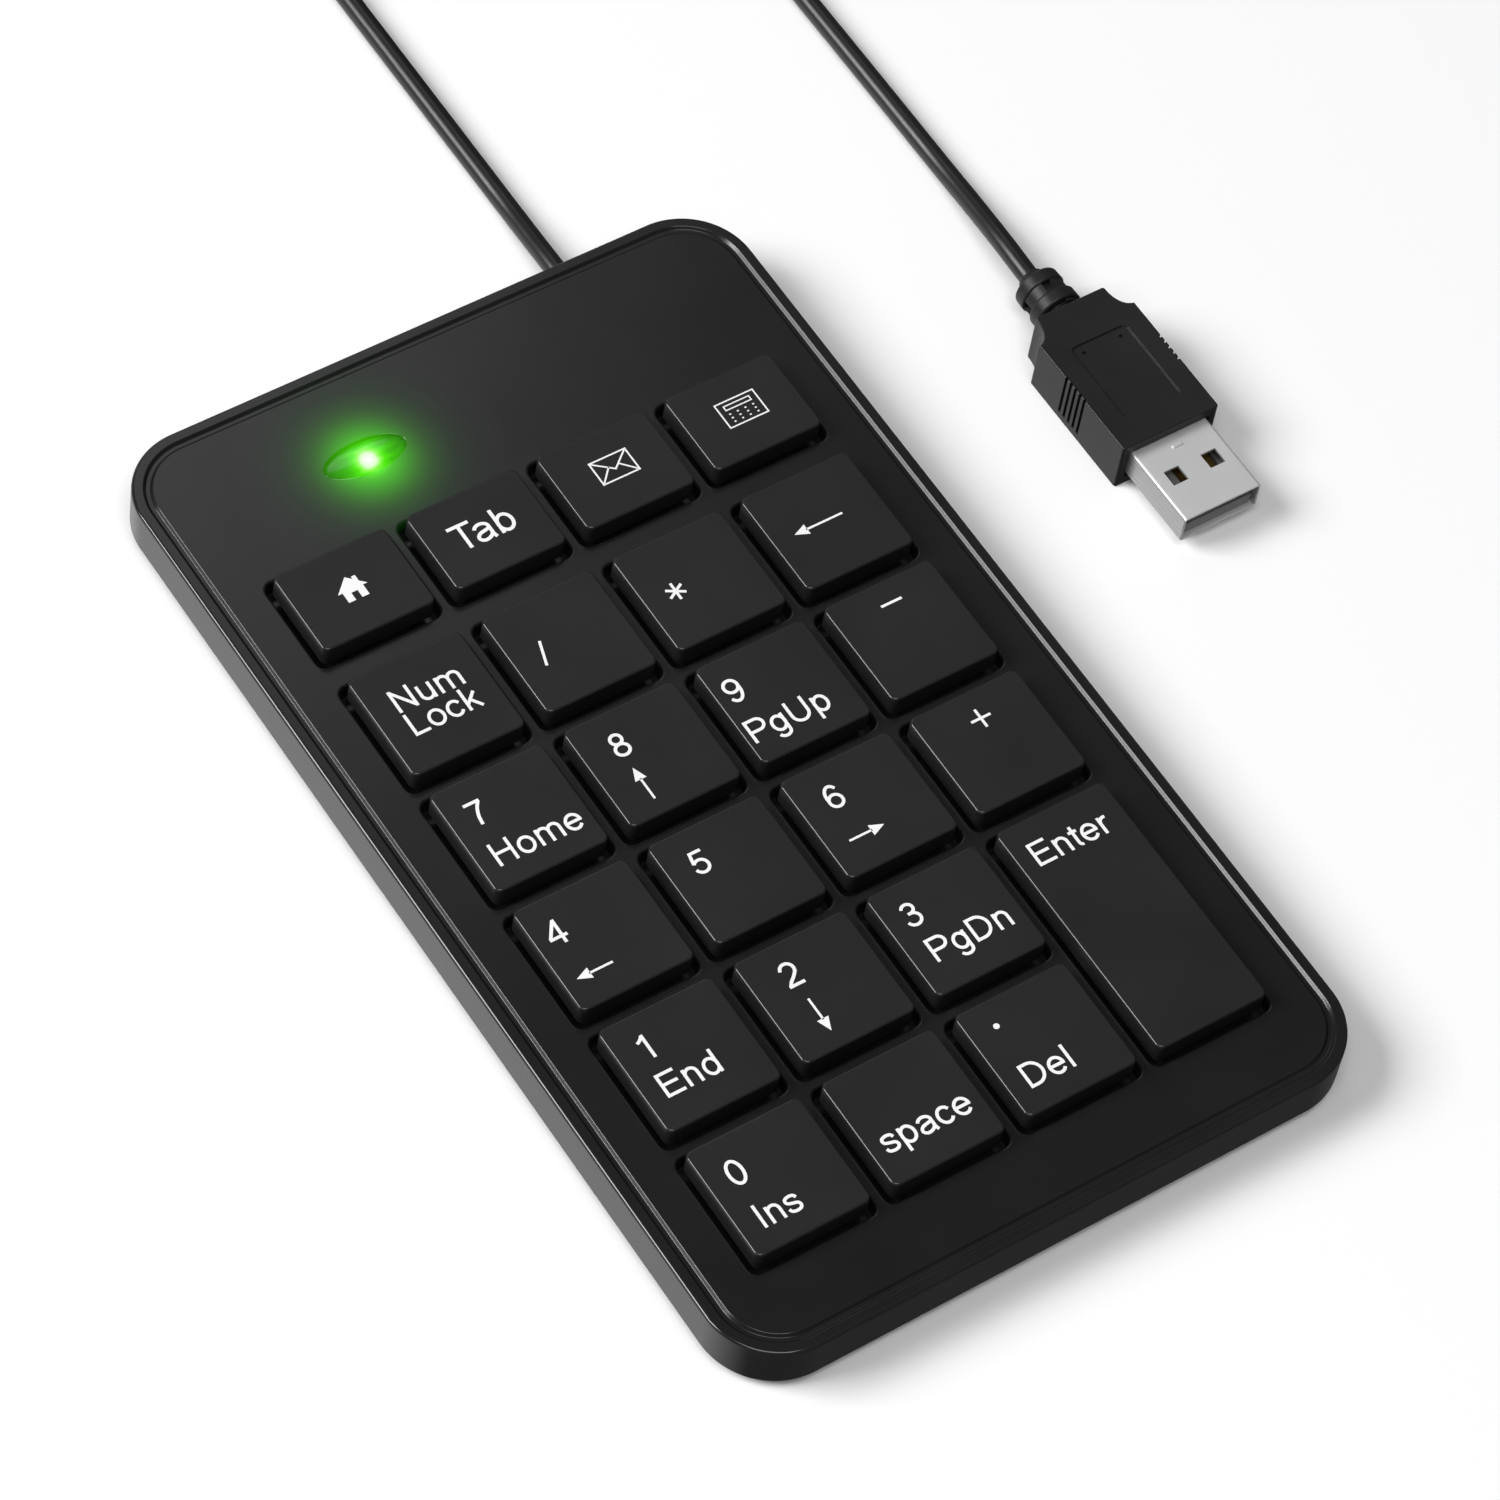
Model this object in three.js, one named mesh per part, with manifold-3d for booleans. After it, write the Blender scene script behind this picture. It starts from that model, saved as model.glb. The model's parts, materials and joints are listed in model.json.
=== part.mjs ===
// A wired numeric keypad with 23 low keys, lying flat, with its lead and USB type A plug.
// The length of lead that is not laid out is wound in a coil behind it and held by a tie.
// Millimetres. X runs to the right of the keypad, Y to its back edge where the lead leaves,
// Z up from the table. The origin is under the middle of the case, on the table.
import * as THREE from "three";
import { mergeVertices } from "three/addons/utils/BufferGeometryUtils.js";
import Module from "manifold-3d";

const wasm = await Module();
wasm.setup();

// ---------- driving dimensions ----------
const CASE = { width: 90, length: 148.2, corner: 9.7, bottom: 1.5, top: 8, edge: 0.5 };
const WALL = 2;
const TOP_SKIN = 1.2;
const GROOVE = { outer: 1.55, inner: 2.7, depth: 0.35 };
const BASE = { inset: 2.3, bottom: 0.6, top: 1.6, ribTop: 3, ribWidth: 0.7, edge: 0.25, bossTop: 2.2 };
const FIELD = { halfWidth: 37.6, margin: 0.4 };
const BOSS = { radius: 1.9, bottom: 2.5, baseRadius: 2.2, boardRadius: 1.5 };

const PITCH = 19;
const KEY = {
  side: 16, corner: 0.8, edge: 0.25, skirt: 7.4, top: 10.5,
  wall: 1, ceiling: 9.3, hollowCorner: 0.6,
};
const SHORT_KEY_DEPTH = 12.8;
const TRAVEL = 1.6;
const WELL = { gap: 0.75, corner: 1.3, floor: 5.55, underside: 4.75 };
const STEM = { side: 5.6, corner: 1, foot: 4.15, lugReach: 0.8, lugTop: 4.5, lugWidth: 1.8 };
const COLUMN_X = [-28.5, -9.5, 9.5, 28.5];
const FRONT_ROW_Y = -54.05;
const SHORT_ROW_Y = 41.26;

const SHEET = { halfWidth: 37.3, front: -63, back: 48.6, corner: 2 };
const FILM = { thickness: 0.12, bottomZ: 1.7, spacerZ: 1.9, topZ: 2.1, contactRadius: 2.5 };
const DOME = { base: 2.3, flat: 2.6, top: 4.05, foot: 4.4, crown: 2.3, wall: 0.4, roof: 0.35 };
const TAIL = { left: 2, right: 22, back: 57 };

const BOARD = {
  left: -24, right: 35, front: 51.5, back: 65.9, bottom: 2.7, top: 3.7,
  postX: [-5.5, 31], postY: 61.9,
};
const RAIL = { inset: 2, width: 4 };
const CHIP = {
  x: 2, y: 60.5, halfLong: 4.5, halfWide: 2, lift: 0.2, height: 1.5,
  legsFromMiddle: 3, legPitch: 1.27, legReach: 3.1, legHalf: 0.2, legHeight: 0.5,
};
const HEADER = { half: 4.5, front: 60, back: 65, top: 6.4, wall: 0.6 };
const GROMMET = { half: 3.2, front: 67.6, back: 71.4, top: 5.7, gap: 0.35, notch: 3.8 };
const LIGHT = {
  x: -15.85, y: 59.4, halfLong: 5.65, halfShort: 2.45,
  flange: 0.9, flangeBottom: 6.1, flangeTop: 6.5,
};
// The lamp under the lens, as radius and height above its seat.
const LED_PROFILE = [
  [0, 0], [1.8, 0], [1.8, 0.4], [1.5, 0.4], [1.5, 0.9],
  [1.3, 1.4], [0.8, 1.75], [0, 1.9],
];

const SCREW_AT = [
  [-38.2, -67.6], [38.2, -67.6],
  [-39.7, 2], [39.7, 2],
  [-38.2, 67.6], [38.2, 67.6],
];
const SCREW = {
  shank: 0.85, head: 1.8, headBottom: 0.7, headTop: 1.15, tip: 5.2, point: 0.6,
  slot: 1.1, slotHalf: 0.2,
};
const FOOT_AT = [[-30, -63], [30, -63], [-30, 63], [30, 63]];
const FOOT = { radius: 4, top: 0.85 };

const CORD = { radius: 1.4, exitX: 23.3, exitZ: 3.2, floorZ: 1.45, mouth: 1.8, sides: 8, step: 6.5 };
// The coil is eleven and a quarter turns, three across and four high, on the radius midTurn.
const COIL = {
  x: 58.75, y: 154, midTurn: 16.8, across: 3, high: 4, pitch: 2.85,
  bottom: 0.45, soft: 1.4,
};
const TIE = { halfWidth: 2, wall: 0.3, slack: 0.15 };
const PLUG = { x: 76.7, front: 2.3, mouldFront: 14.3, mouldBack: 33.3, shoulder: 37.3, tail: 45.4 };
const MOULD = { halfWidth: 7.5, height: 8, corner: 0.6, neckHalf: 5.4, waist: 0.3, edge: 0.3 };
// The ringed strain relief behind the plug, as radius and place along the lead.
const RELIEF_PROFILE = [
  [2.4, 38.6], [3.5, 38.6], [3.5, 40.6], [2.3, 40.6], [2.2, 42.2],
  [3.3, 42.2], [3.3, 44.2], [2.1, 44.2], [1.9, 45.4],
];
const PANEL = { width: 8.8, length: 13, corner: 0.8, depth: 0.3, middle: 10.2 };
const GRIP = { count: 5, first: 8.6, pitch: 1, width: 0.5, depth: 0.35, bottom: 1.4, top: 7 };
const SHELL = { width: 12, height: 4.5, wall: 0.35, back: 16, z: 4, corner: 0.6 };
const WINDOW = { offset: 2.9, half: 1.1, front: 5.2, back: 7.6 };
// The two outer contacts reach further forward, so that power meets before data.
const CONTACTS = [
  { offset: -3.5, front: 1.6 },
  { offset: -1, front: 2.6 },
  { offset: 1, front: 2.6 },
  { offset: 3.5, front: 1.6 },
];
const TONGUE = {
  half: 5.2, bottom: 2.45, top: 4.1, slot: 3.5, front: 0.6,
  slotHalf: 0.8, contactHalf: 0.5,
};
const CLEARANCE = 0.3;

// A cutter runs PAST the face that it cuts, and joined shapes sink JOIN into each other.
const PAST = 1;
const JOIN = 0.1;

// ---------- materials ----------
const paint = (colour, roughness, metalness = 0) =>
  new THREE.MeshStandardMaterial({ color: colour, roughness, metalness });
const MATERIAL = {
  caseBlack: () => paint(0x17181a, 0.42),
  keyBlack: () => paint(0x1e1f21, 0.55),
  silicone: () => paint(0xd9d9d4, 0.6),
  film: () => paint(0xb9c6b4, 0.35),
  spring: () => paint(0xa9abad, 0.3, 1),
  screw: () => paint(0x6d6f72, 0.35, 1),
  board: () => paint(0x2c5a34, 0.5),
  chip: () => paint(0x141414, 0.5),
  nylon: () => paint(0xe4e0d4, 0.5),
  insulator: () => paint(0x4a4a4a, 0.5),
  greenLens: () => paint(0x2fd02a, 0.15),
  rubber: () => paint(0x101011, 0.85),
  cord: () => paint(0x1b1c1d, 0.4),
  steel: () => paint(0xb4b6b8, 0.25, 1),
  gold: () => paint(0xd6b25a, 0.25, 1),
};

// ---------- building blocks ----------
function solid(geometry) {
  const plain = new THREE.BufferGeometry();
  const flat = geometry.index ? geometry.toNonIndexed() : geometry;
  plain.setAttribute("position", flat.getAttribute("position"));
  const merged = mergeVertices(plain, 1e-4);
  return new wasm.Manifold(
    new wasm.Mesh({
      numProp: 3,
      vertProperties: merged.attributes.position.array,
      triVerts: new Uint32Array(merged.index.array),
    }),
  );
}

function toMesh(name, shape, material) {
  const data = shape.getMesh();
  const geometry = new THREE.BufferGeometry();
  geometry.setAttribute("position", new THREE.BufferAttribute(data.vertProperties, 3));
  geometry.setIndex(new THREE.BufferAttribute(data.triVerts, 1));
  geometry.computeVertexNormals();
  const mesh = new THREE.Mesh(geometry, material);
  mesh.name = name;
  return mesh;
}

// A rectangle with round corners, centred on x, y.
function roundRect(width, depth, corner, x = 0, y = 0) {
  const w = width / 2;
  const d = depth / 2;
  const shape = new THREE.Shape();
  shape.moveTo(x + w - corner, y - d);
  shape.absarc(x + w - corner, y - d + corner, corner, -Math.PI / 2, 0);
  shape.absarc(x + w - corner, y + d - corner, corner, 0, Math.PI / 2);
  shape.absarc(x - w + corner, y + d - corner, corner, Math.PI / 2, Math.PI);
  shape.absarc(x - w + corner, y - d + corner, corner, Math.PI, 1.5 * Math.PI);
  return shape;
}

function ellipse(halfX, halfY, x, y) {
  return new THREE.Shape().absellipse(x, y, halfX, halfY, 0, 2 * Math.PI);
}

// The shape raised from z0 to z1; edge chamfers both rims by that much.
function slab(shape, z0, z1, segments = 2, edge = 0) {
  const geometry = new THREE.ExtrudeGeometry(shape, {
    depth: z1 - z0 - 2 * edge,
    curveSegments: segments,
    bevelEnabled: edge > 0,
    bevelThickness: edge,
    bevelSize: edge,
    bevelOffset: -edge,
    bevelSegments: 1,
  });
  geometry.translate(0, 0, z0 + edge);
  return solid(geometry);
}

function box(x0, x1, y0, y1, z0, z1) {
  const geometry = new THREE.BoxGeometry(x1 - x0, y1 - y0, z1 - z0);
  geometry.translate((x0 + x1) / 2, (y0 + y1) / 2, (z0 + z1) / 2);
  return solid(geometry);
}

function post(x, y, radius, z0, z1, sides = 8) {
  const geometry = new THREE.CylinderGeometry(radius, radius, z1 - z0, sides);
  geometry.rotateX(Math.PI / 2);
  geometry.translate(x, y, (z0 + z1) / 2);
  return solid(geometry);
}

// A solid of revolution about the vertical line through x, y; the profile is [radius, z] pairs.
function turned(profile, x, y, sides) {
  const points = profile.map(([radius, z]) => new THREE.Vector2(radius, z));
  const geometry = new THREE.LatheGeometry(points, sides);
  geometry.rotateX(Math.PI / 2);
  geometry.translate(x, y, 0);
  return solid(geometry);
}

// A round bar of straight lengths through the given points.
function bentRod(points, radius, sides) {
  const up = new THREE.Vector3(0, 1, 0);
  const parts = [];
  for (let i = 0; i + 1 < points.length; i++) {
    const along = points[i + 1].clone().sub(points[i]);
    const length = new THREE.CylinderGeometry(radius, radius, along.length(), sides);
    length.applyQuaternion(new THREE.Quaternion().setFromUnitVectors(up, along.normalize()));
    const middle = points[i].clone().add(points[i + 1]).multiplyScalar(0.5);
    length.translate(middle.x, middle.y, middle.z);
    parts.push(solid(length));
  }
  for (const corner of points.slice(1, -1)) {
    const knuckle = new THREE.SphereGeometry(radius, sides, sides / 2);
    knuckle.translate(corner.x, corner.y, corner.z);
    parts.push(solid(knuckle));
  }
  return parts.reduce((whole, part) => whole.add(part));
}

// A cord: its section swept along a smooth curve through the points.
function cordRun(points) {
  const places = points.map((p) => new THREE.Vector3(...p));
  const route = new THREE.CatmullRomCurve3(places, false, "centripetal");
  const section = new THREE.Shape();
  for (let i = 0; i < CORD.sides; i++) {
    const turn = ((i + 0.5) / CORD.sides) * 2 * Math.PI;
    const x = CORD.radius * Math.cos(turn);
    const y = CORD.radius * Math.sin(turn);
    if (i === 0) section.moveTo(x, y);
    else section.lineTo(x, y);
  }
  section.closePath();
  return solid(
    new THREE.ExtrudeGeometry(section, {
      steps: Math.round(route.getLength() / CORD.step),
      extrudePath: route,
      bevelEnabled: false,
    }),
  );
}

// ---------- the keys ----------
// Each key has its place, its depth and how many rows it spans.
function keyTable() {
  const rowY = (row) => FRONT_ROW_Y + row * PITCH;
  const keys = [];
  const addRow = (names, y, depth) =>
    names.forEach((name, column) => keys.push({ name, x: COLUMN_X[column], y, depth }));
  addRow(["key_web_home", "key_tab", "key_mail", "key_calculator"], SHORT_ROW_Y, SHORT_KEY_DEPTH);
  addRow(["key_num_lock", "key_divide", "key_multiply", "key_backspace"], rowY(4), KEY.side);
  addRow(["key_7", "key_8", "key_9", "key_minus"], rowY(3), KEY.side);
  addRow(["key_4", "key_5", "key_6", "key_plus"], rowY(2), KEY.side);
  addRow(["key_1", "key_2", "key_3"], rowY(1), KEY.side);
  addRow(["key_0", "key_space", "key_decimal"], rowY(0), KEY.side);
  keys.push({ name: "key_enter", x: COLUMN_X[3], y: rowY(0.5), depth: KEY.side + PITCH });
  return keys;
}
const KEYS = keyTable();
const ENTER = KEYS.find((key) => key.name === "key_enter");

// The bent wire that keeps both ends of the long key level. It swings on two clips in the well.
const WIRE = {
  radius: 0.4, pivotX: ENTER.x - 1.5, pivotZ: 6.5, reach: 6.5,
  half: 11.5, hook: 1.6, prongY: 6,
};
const PRONG = { left: 0.7, right: 0.9, wall: 0.6, half: 1, bottom: 7.5, slotTop: 8.7 };
const CLIP = {
  near: 0.8, far: 2, half: 1.2, top: 7.5,
  slotLeft: 0.7, slotRight: 2.4, slotBottom: 5.85, slotTop: 7.1,
};

function keycap({ x, y, depth, name }) {
  const outside = roundRect(KEY.side, depth, KEY.corner, x, y);
  const hollow = roundRect(KEY.side - 2 * KEY.wall, depth - 2 * KEY.wall, KEY.hollowCorner, x, y);
  const stem = roundRect(STEM.side, STEM.side, STEM.corner, x, y);
  let cap = slab(outside, KEY.skirt, KEY.top, 1, KEY.edge);
  cap = cap.subtract(slab(hollow, KEY.skirt - PAST, KEY.ceiling, 1));
  cap = cap.add(slab(stem, STEM.foot, KEY.ceiling + JOIN, 1));
  const reach = STEM.side / 2 + STEM.lugReach;
  const half = STEM.lugWidth / 2;
  cap = cap.add(box(x - reach, x + reach, y - half, y + half, STEM.foot, STEM.lugTop));
  if (name === "key_enter") {
    const barX = WIRE.pivotX + WIRE.reach;
    const [x0, x1] = [barX - PRONG.left, barX + PRONG.right];
    for (const side of [-1, 1]) {
      const y0 = y + side * WIRE.prongY - PRONG.half;
      const y1 = y0 + 2 * PRONG.half;
      const block = box(x0 - PRONG.wall, x1 + PRONG.wall, y0, y1, PRONG.bottom, KEY.ceiling + JOIN);
      const slot = box(x0, x1, y0 - JOIN, y1 + JOIN, PRONG.bottom - JOIN, PRONG.slotTop);
      cap = cap.add(block).subtract(slot);
    }
  }
  return cap;
}

function enterWire() {
  const barX = WIRE.pivotX + WIRE.reach;
  const barZ = WIRE.pivotZ + TRAVEL;
  const at = (x, side, z, extra = 0) => new THREE.Vector3(x, ENTER.y + side * (WIRE.half + extra), z);
  return bentRod(
    [
      at(WIRE.pivotX, -1, WIRE.pivotZ, WIRE.hook),
      at(WIRE.pivotX, -1, WIRE.pivotZ),
      at(barX, -1, barZ),
      at(barX, 1, barZ),
      at(WIRE.pivotX, 1, WIRE.pivotZ),
      at(WIRE.pivotX, 1, WIRE.pivotZ, WIRE.hook),
    ],
    WIRE.radius,
    6,
  );
}

// ---------- the case ----------
function caseOutline(inset) {
  return roundRect(CASE.width - 2 * inset, CASE.length - 2 * inset, CASE.corner - inset);
}

function topCover() {
  const { width, length, bottom, top, edge } = CASE;
  const ceiling = top - TOP_SKIN;
  let cover = slab(caseOutline(0), bottom - PAST, top, 6, edge);
  cover = cover.subtract(box(-width, width, -length, length, bottom - 2 * PAST, bottom));

  const groove = caseOutline(GROOVE.outer);
  groove.holes.push(caseOutline(GROOVE.inner));
  cover = cover.subtract(slab(groove, top - GROOVE.depth, top + PAST, 6));
  cover = cover.subtract(slab(caseOutline(WALL), bottom - PAST, ceiling, 6));

  // the thick field that holds the key wells
  const { halfWidth, margin } = FIELD;
  cover = cover.add(
    box(-halfWidth, halfWidth, SHEET.front - margin, SHEET.back + margin, WELL.underside, ceiling + JOIN),
  );
  for (const { x, y, depth } of KEYS) {
    const well = roundRect(KEY.side + 2 * WELL.gap, depth + 2 * WELL.gap, WELL.corner, x, y);
    cover = cover.subtract(slab(well, WELL.floor, top + PAST, 1));
    const opening = STEM.side + 2 * CLEARANCE;
    const guide = roundRect(opening, opening, STEM.corner + CLEARANCE, x, y);
    cover = cover.subtract(slab(guide, WELL.underside - PAST, WELL.floor + JOIN, 1));
  }

  // clips for the wire in the long key's well
  for (const side of [-1, 1]) {
    const near = ENTER.y + side * (WIRE.half + CLIP.near);
    const far = ENTER.y + side * (WIRE.half + CLIP.far);
    const [y0, y1] = [Math.min(near, far), Math.max(near, far)];
    const { pivotX } = WIRE;
    const [slotLeft, slotRight] = [pivotX - CLIP.slotLeft, pivotX + CLIP.slotRight];
    const clip = box(pivotX - CLIP.half, pivotX + CLIP.half, y0, y1, WELL.floor - JOIN, CLIP.top);
    const slot = box(slotLeft, slotRight, y0 - PAST, y1 + PAST, CLIP.slotBottom, CLIP.slotTop);
    cover = cover.add(clip.subtract(slot));
  }

  for (const [x, y] of SCREW_AT) {
    cover = cover.add(post(x, y, BOSS.radius, BOSS.bottom, ceiling + JOIN));
    cover = cover.subtract(post(x, y, SCREW.shank + CLEARANCE, BOSS.bottom - PAST, SCREW.tip + CLEARANCE));
  }
  for (const x of BOARD.postX) {
    cover = cover.add(post(x, BOARD.postY, BOSS.boardRadius, BOARD.top + CLEARANCE, ceiling + JOIN));
  }

  const window = ellipse(LIGHT.halfLong + CLEARANCE, LIGHT.halfShort + CLEARANCE, LIGHT.x, LIGHT.y);
  cover = cover.subtract(slab(window, ceiling - PAST, top + PAST, 16));

  // the mouth for the lead: an arch in the back wall, open at the wall's lower edge
  const { exitX, exitZ, mouth } = CORD;
  const back = length / 2;
  cover = cover.subtract(
    box(exitX - mouth, exitX + mouth, back - WALL - PAST, back + PAST, bottom - PAST, exitZ),
  );
  const arch = new THREE.CylinderGeometry(mouth, mouth, 2 * (WALL + PAST), 16);
  arch.translate(exitX, back, exitZ);
  return cover.subtract(solid(arch));
}

function bottomCover() {
  const { inset, bottom, top, ribTop, ribWidth, edge, bossTop } = BASE;
  const { width, length } = CASE;
  let base = slab(caseOutline(inset), bottom, top + PAST, 5, edge);
  base = base.subtract(box(-width, width, -length, length, top, top + 2 * PAST));
  const rib = caseOutline(inset);
  rib.holes.push(caseOutline(inset + ribWidth));
  base = base.add(slab(rib, top - JOIN, ribTop, 5));
  const { exitX } = CORD;
  base = base.subtract(
    box(exitX - GROMMET.notch, exitX + GROMMET.notch, GROMMET.front, length / 2, top, ribTop + PAST),
  );

  for (const [x, y] of SCREW_AT) {
    base = base.add(post(x, y, BOSS.baseRadius, top - JOIN, bossTop));
    base = base.subtract(post(x, y, SCREW.shank + CLEARANCE, bottom - PAST, bossTop + PAST));
    base = base.subtract(post(x, y, SCREW.head + CLEARANCE, bottom - PAST, SCREW.headTop + CLEARANCE));
  }
  for (const [x, y] of FOOT_AT) {
    base = base.subtract(post(x, y, FOOT.radius + CLEARANCE, bottom - PAST, FOOT.top + CLEARANCE, 16));
  }

  // two rails that carry the circuit board
  for (const x of [BOARD.left + RAIL.inset, BOARD.right - RAIL.inset - RAIL.width]) {
    const [y0, y1] = [BOARD.front + RAIL.inset, BOARD.back - RAIL.inset];
    base = base.add(box(x, x + RAIL.width, y0, y1, top - JOIN, BOARD.bottom - CLEARANCE));
  }
  return base;
}

function caseScrew([x, y]) {
  const head = turned(
    [[0, SCREW.headBottom], [SCREW.head, SCREW.headBottom], [SCREW.head, SCREW.headTop],
      [SCREW.shank, SCREW.headTop], [SCREW.shank, SCREW.tip - SCREW.point], [0, SCREW.tip]],
    x, y, 8,
  );
  const { slot, slotHalf, headBottom, headTop } = SCREW;
  const slotTop = (headBottom + headTop) / 2;
  const along = box(x - slot, x + slot, y - slotHalf, y + slotHalf, headBottom - PAST, slotTop);
  const across = box(x - slotHalf, x + slotHalf, y - slot, y + slot, headBottom - PAST, slotTop);
  return head.subtract(along).subtract(across);
}

function foot([x, y]) {
  return post(x, y, FOOT.radius, 0, FOOT.top, 16);
}

// ---------- what is inside ----------
function sheetOutline() {
  const depth = SHEET.back - SHEET.front;
  return roundRect(2 * SHEET.halfWidth, depth, SHEET.corner, 0, (SHEET.back + SHEET.front) / 2);
}

function film(z, perforated, tail) {
  const top = z + FILM.thickness;
  let sheet = slab(sheetOutline(), z, top, 2);
  if (tail) sheet = sheet.add(box(TAIL.left, TAIL.right, SHEET.back - PAST, TAIL.back, z, top));
  if (perforated) {
    for (const { x, y } of KEYS) {
      sheet = sheet.subtract(post(x, y, FILM.contactRadius, z - PAST, top + PAST, 6));
    }
  }
  return sheet;
}

function domeSheet() {
  const { base, flat, top, foot, crown, wall, roof } = DOME;
  let sheet = slab(sheetOutline(), base, flat, 2);
  const outer = [[0, base + JOIN], [foot, base + JOIN], [foot, flat], [crown, top], [0, top]];
  const under = base - JOIN;
  const inner = [[0, under], [foot - wall, under], [crown - wall, top - roof], [0, top - roof]];
  const sides = 8;
  for (const { x, y } of KEYS) {
    sheet = sheet.add(turned(outer, x, y, sides)).subtract(turned(inner, x, y, sides));
  }
  return sheet;
}

function circuitBoard() {
  return box(BOARD.left, BOARD.right, BOARD.front, BOARD.back, BOARD.bottom, BOARD.top);
}

function controllerChip() {
  const z = BOARD.top + CLEARANCE;
  const { halfLong, halfWide, lift, height } = CHIP;
  const { legsFromMiddle, legPitch, legReach, legHalf, legHeight } = CHIP;
  const [left, right] = [CHIP.x - halfLong, CHIP.x + halfLong];
  let chip = box(left, right, CHIP.y - halfWide, CHIP.y + halfWide, z + lift, z + height);
  for (let i = -legsFromMiddle; i <= legsFromMiddle; i++) {
    const x = CHIP.x + i * legPitch;
    chip = chip.add(
      box(x - legHalf, x + legHalf, CHIP.y - legReach, CHIP.y + legReach, z, z + legHeight),
    );
  }
  return chip;
}

function statusLed() {
  const seat = BOARD.top + CLEARANCE;
  const profile = LED_PROFILE.map(([radius, height]) => [radius, seat + height]);
  return turned(profile, LIGHT.x, LIGHT.y, 14);
}

function ledLens() {
  const { x, y, halfLong, halfShort, flange, flangeBottom, flangeTop } = LIGHT;
  const foot = slab(ellipse(halfLong + flange, halfShort + flange, x, y), flangeBottom, flangeTop, 16);
  return foot.add(slab(ellipse(halfLong, halfShort, x, y), flangeTop - JOIN, CASE.top, 16));
}

function cordHeader() {
  const z = BOARD.top + CLEARANCE;
  const { half, front, back, top, wall } = HEADER;
  const [left, right] = [CORD.exitX - half, CORD.exitX + half];
  const housing = box(left, right, front, back, z, top);
  const socket = box(left + wall, right - wall, front + wall, back + PAST, z + wall, top + PAST);
  return housing.subtract(socket);
}

function cordGrommet() {
  const { half, front, back, top, gap } = GROMMET;
  const block = box(CORD.exitX - half, CORD.exitX + half, front, back, BASE.top + CLEARANCE, top);
  const radius = CORD.radius + gap;
  const bore = new THREE.CylinderGeometry(radius, radius, back - front + 2 * PAST, 12);
  bore.translate(CORD.exitX, (front + back) / 2, CORD.exitZ);
  return block.subtract(solid(bore));
}

// ---------- the lead and its plug ----------
const EXIT_RUN = [
  [CORD.exitX, 66.3, CORD.exitZ],
  [CORD.exitX, 72, CORD.exitZ],
  [CORD.exitX + 0.05, 77, CORD.exitZ - 0.1],
  [CORD.exitX + 0.4, 83, 2.3],
  [CORD.exitX + 0.75, 89, 1.55],
  [24.1, 96, CORD.floorZ],
  [24.1, 115, CORD.floorZ],
  [24.1, 135, CORD.floorZ],
  [24.1, 153.6, CORD.floorZ],
  [25.3, 160.5, CORD.floorZ],
  [28.8, 166.5, CORD.floorZ],
  [34.1, 171, 1.5],
  [40.6, 173.3, 1.65],
  [47.2, 173.65, 1.8],
];
const PLUG_RUN = [
  [78.4, 142.9, 9.4],
  [78.4, 137, 7.8],
  [78.4, 131.5, 5.9],
  [78.4, 126, 4.1],
  [78.4, 120, 2.4],
  [78.4, 115, 1.6],
  [78.4, 110, CORD.floorZ],
  [78.4, 90, CORD.floorZ],
  [78.4, 75, CORD.floorZ],
  [78.3, 67, 1.6],
  [77.7, 59, 2.7],
  [77, 52, 3.8],
  [PLUG.x, 45.7, SHELL.z],
];

// The coil's section: how far it reaches from its axis, and its lowest and highest point.
function coilExtent() {
  const half = ((COIL.across - 1) * COIL.pitch) / 2 + CORD.radius;
  const top = COIL.bottom + (COIL.high - 1) * COIL.pitch + 2 * CORD.radius;
  return { inner: COIL.midTurn - half, outer: COIL.midTurn + half, bottom: COIL.bottom, top };
}

function cordCoil() {
  const { inner, outer, bottom, top } = coilExtent();
  const { soft } = COIL;
  const ring = [
    [inner + soft, bottom], [outer - soft, bottom], [outer, bottom + soft], [outer, top - soft],
    [outer - soft, top], [inner + soft, top], [inner, top - soft], [inner, bottom + soft],
    [inner + soft, bottom],
  ];
  return turned(ring, COIL.x, COIL.y, 28);
}

// A band round the coil's section, on the side nearest the exit run.
function cordTie() {
  const { inner, outer, bottom, top } = coilExtent();
  const { halfWidth, wall, slack } = TIE;
  const left = COIL.x - outer - slack;
  const right = COIL.x - Math.sqrt(inner ** 2 - halfWidth ** 2) + slack;
  const [low, high] = [bottom - slack, top + slack];
  const [front, back] = [COIL.y - halfWidth, COIL.y + halfWidth];
  const band = box(left - wall, right + wall, front, back, low - wall, high + wall);
  return band.subtract(box(left, right, front - PAST, back + PAST, low, high));
}

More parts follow.
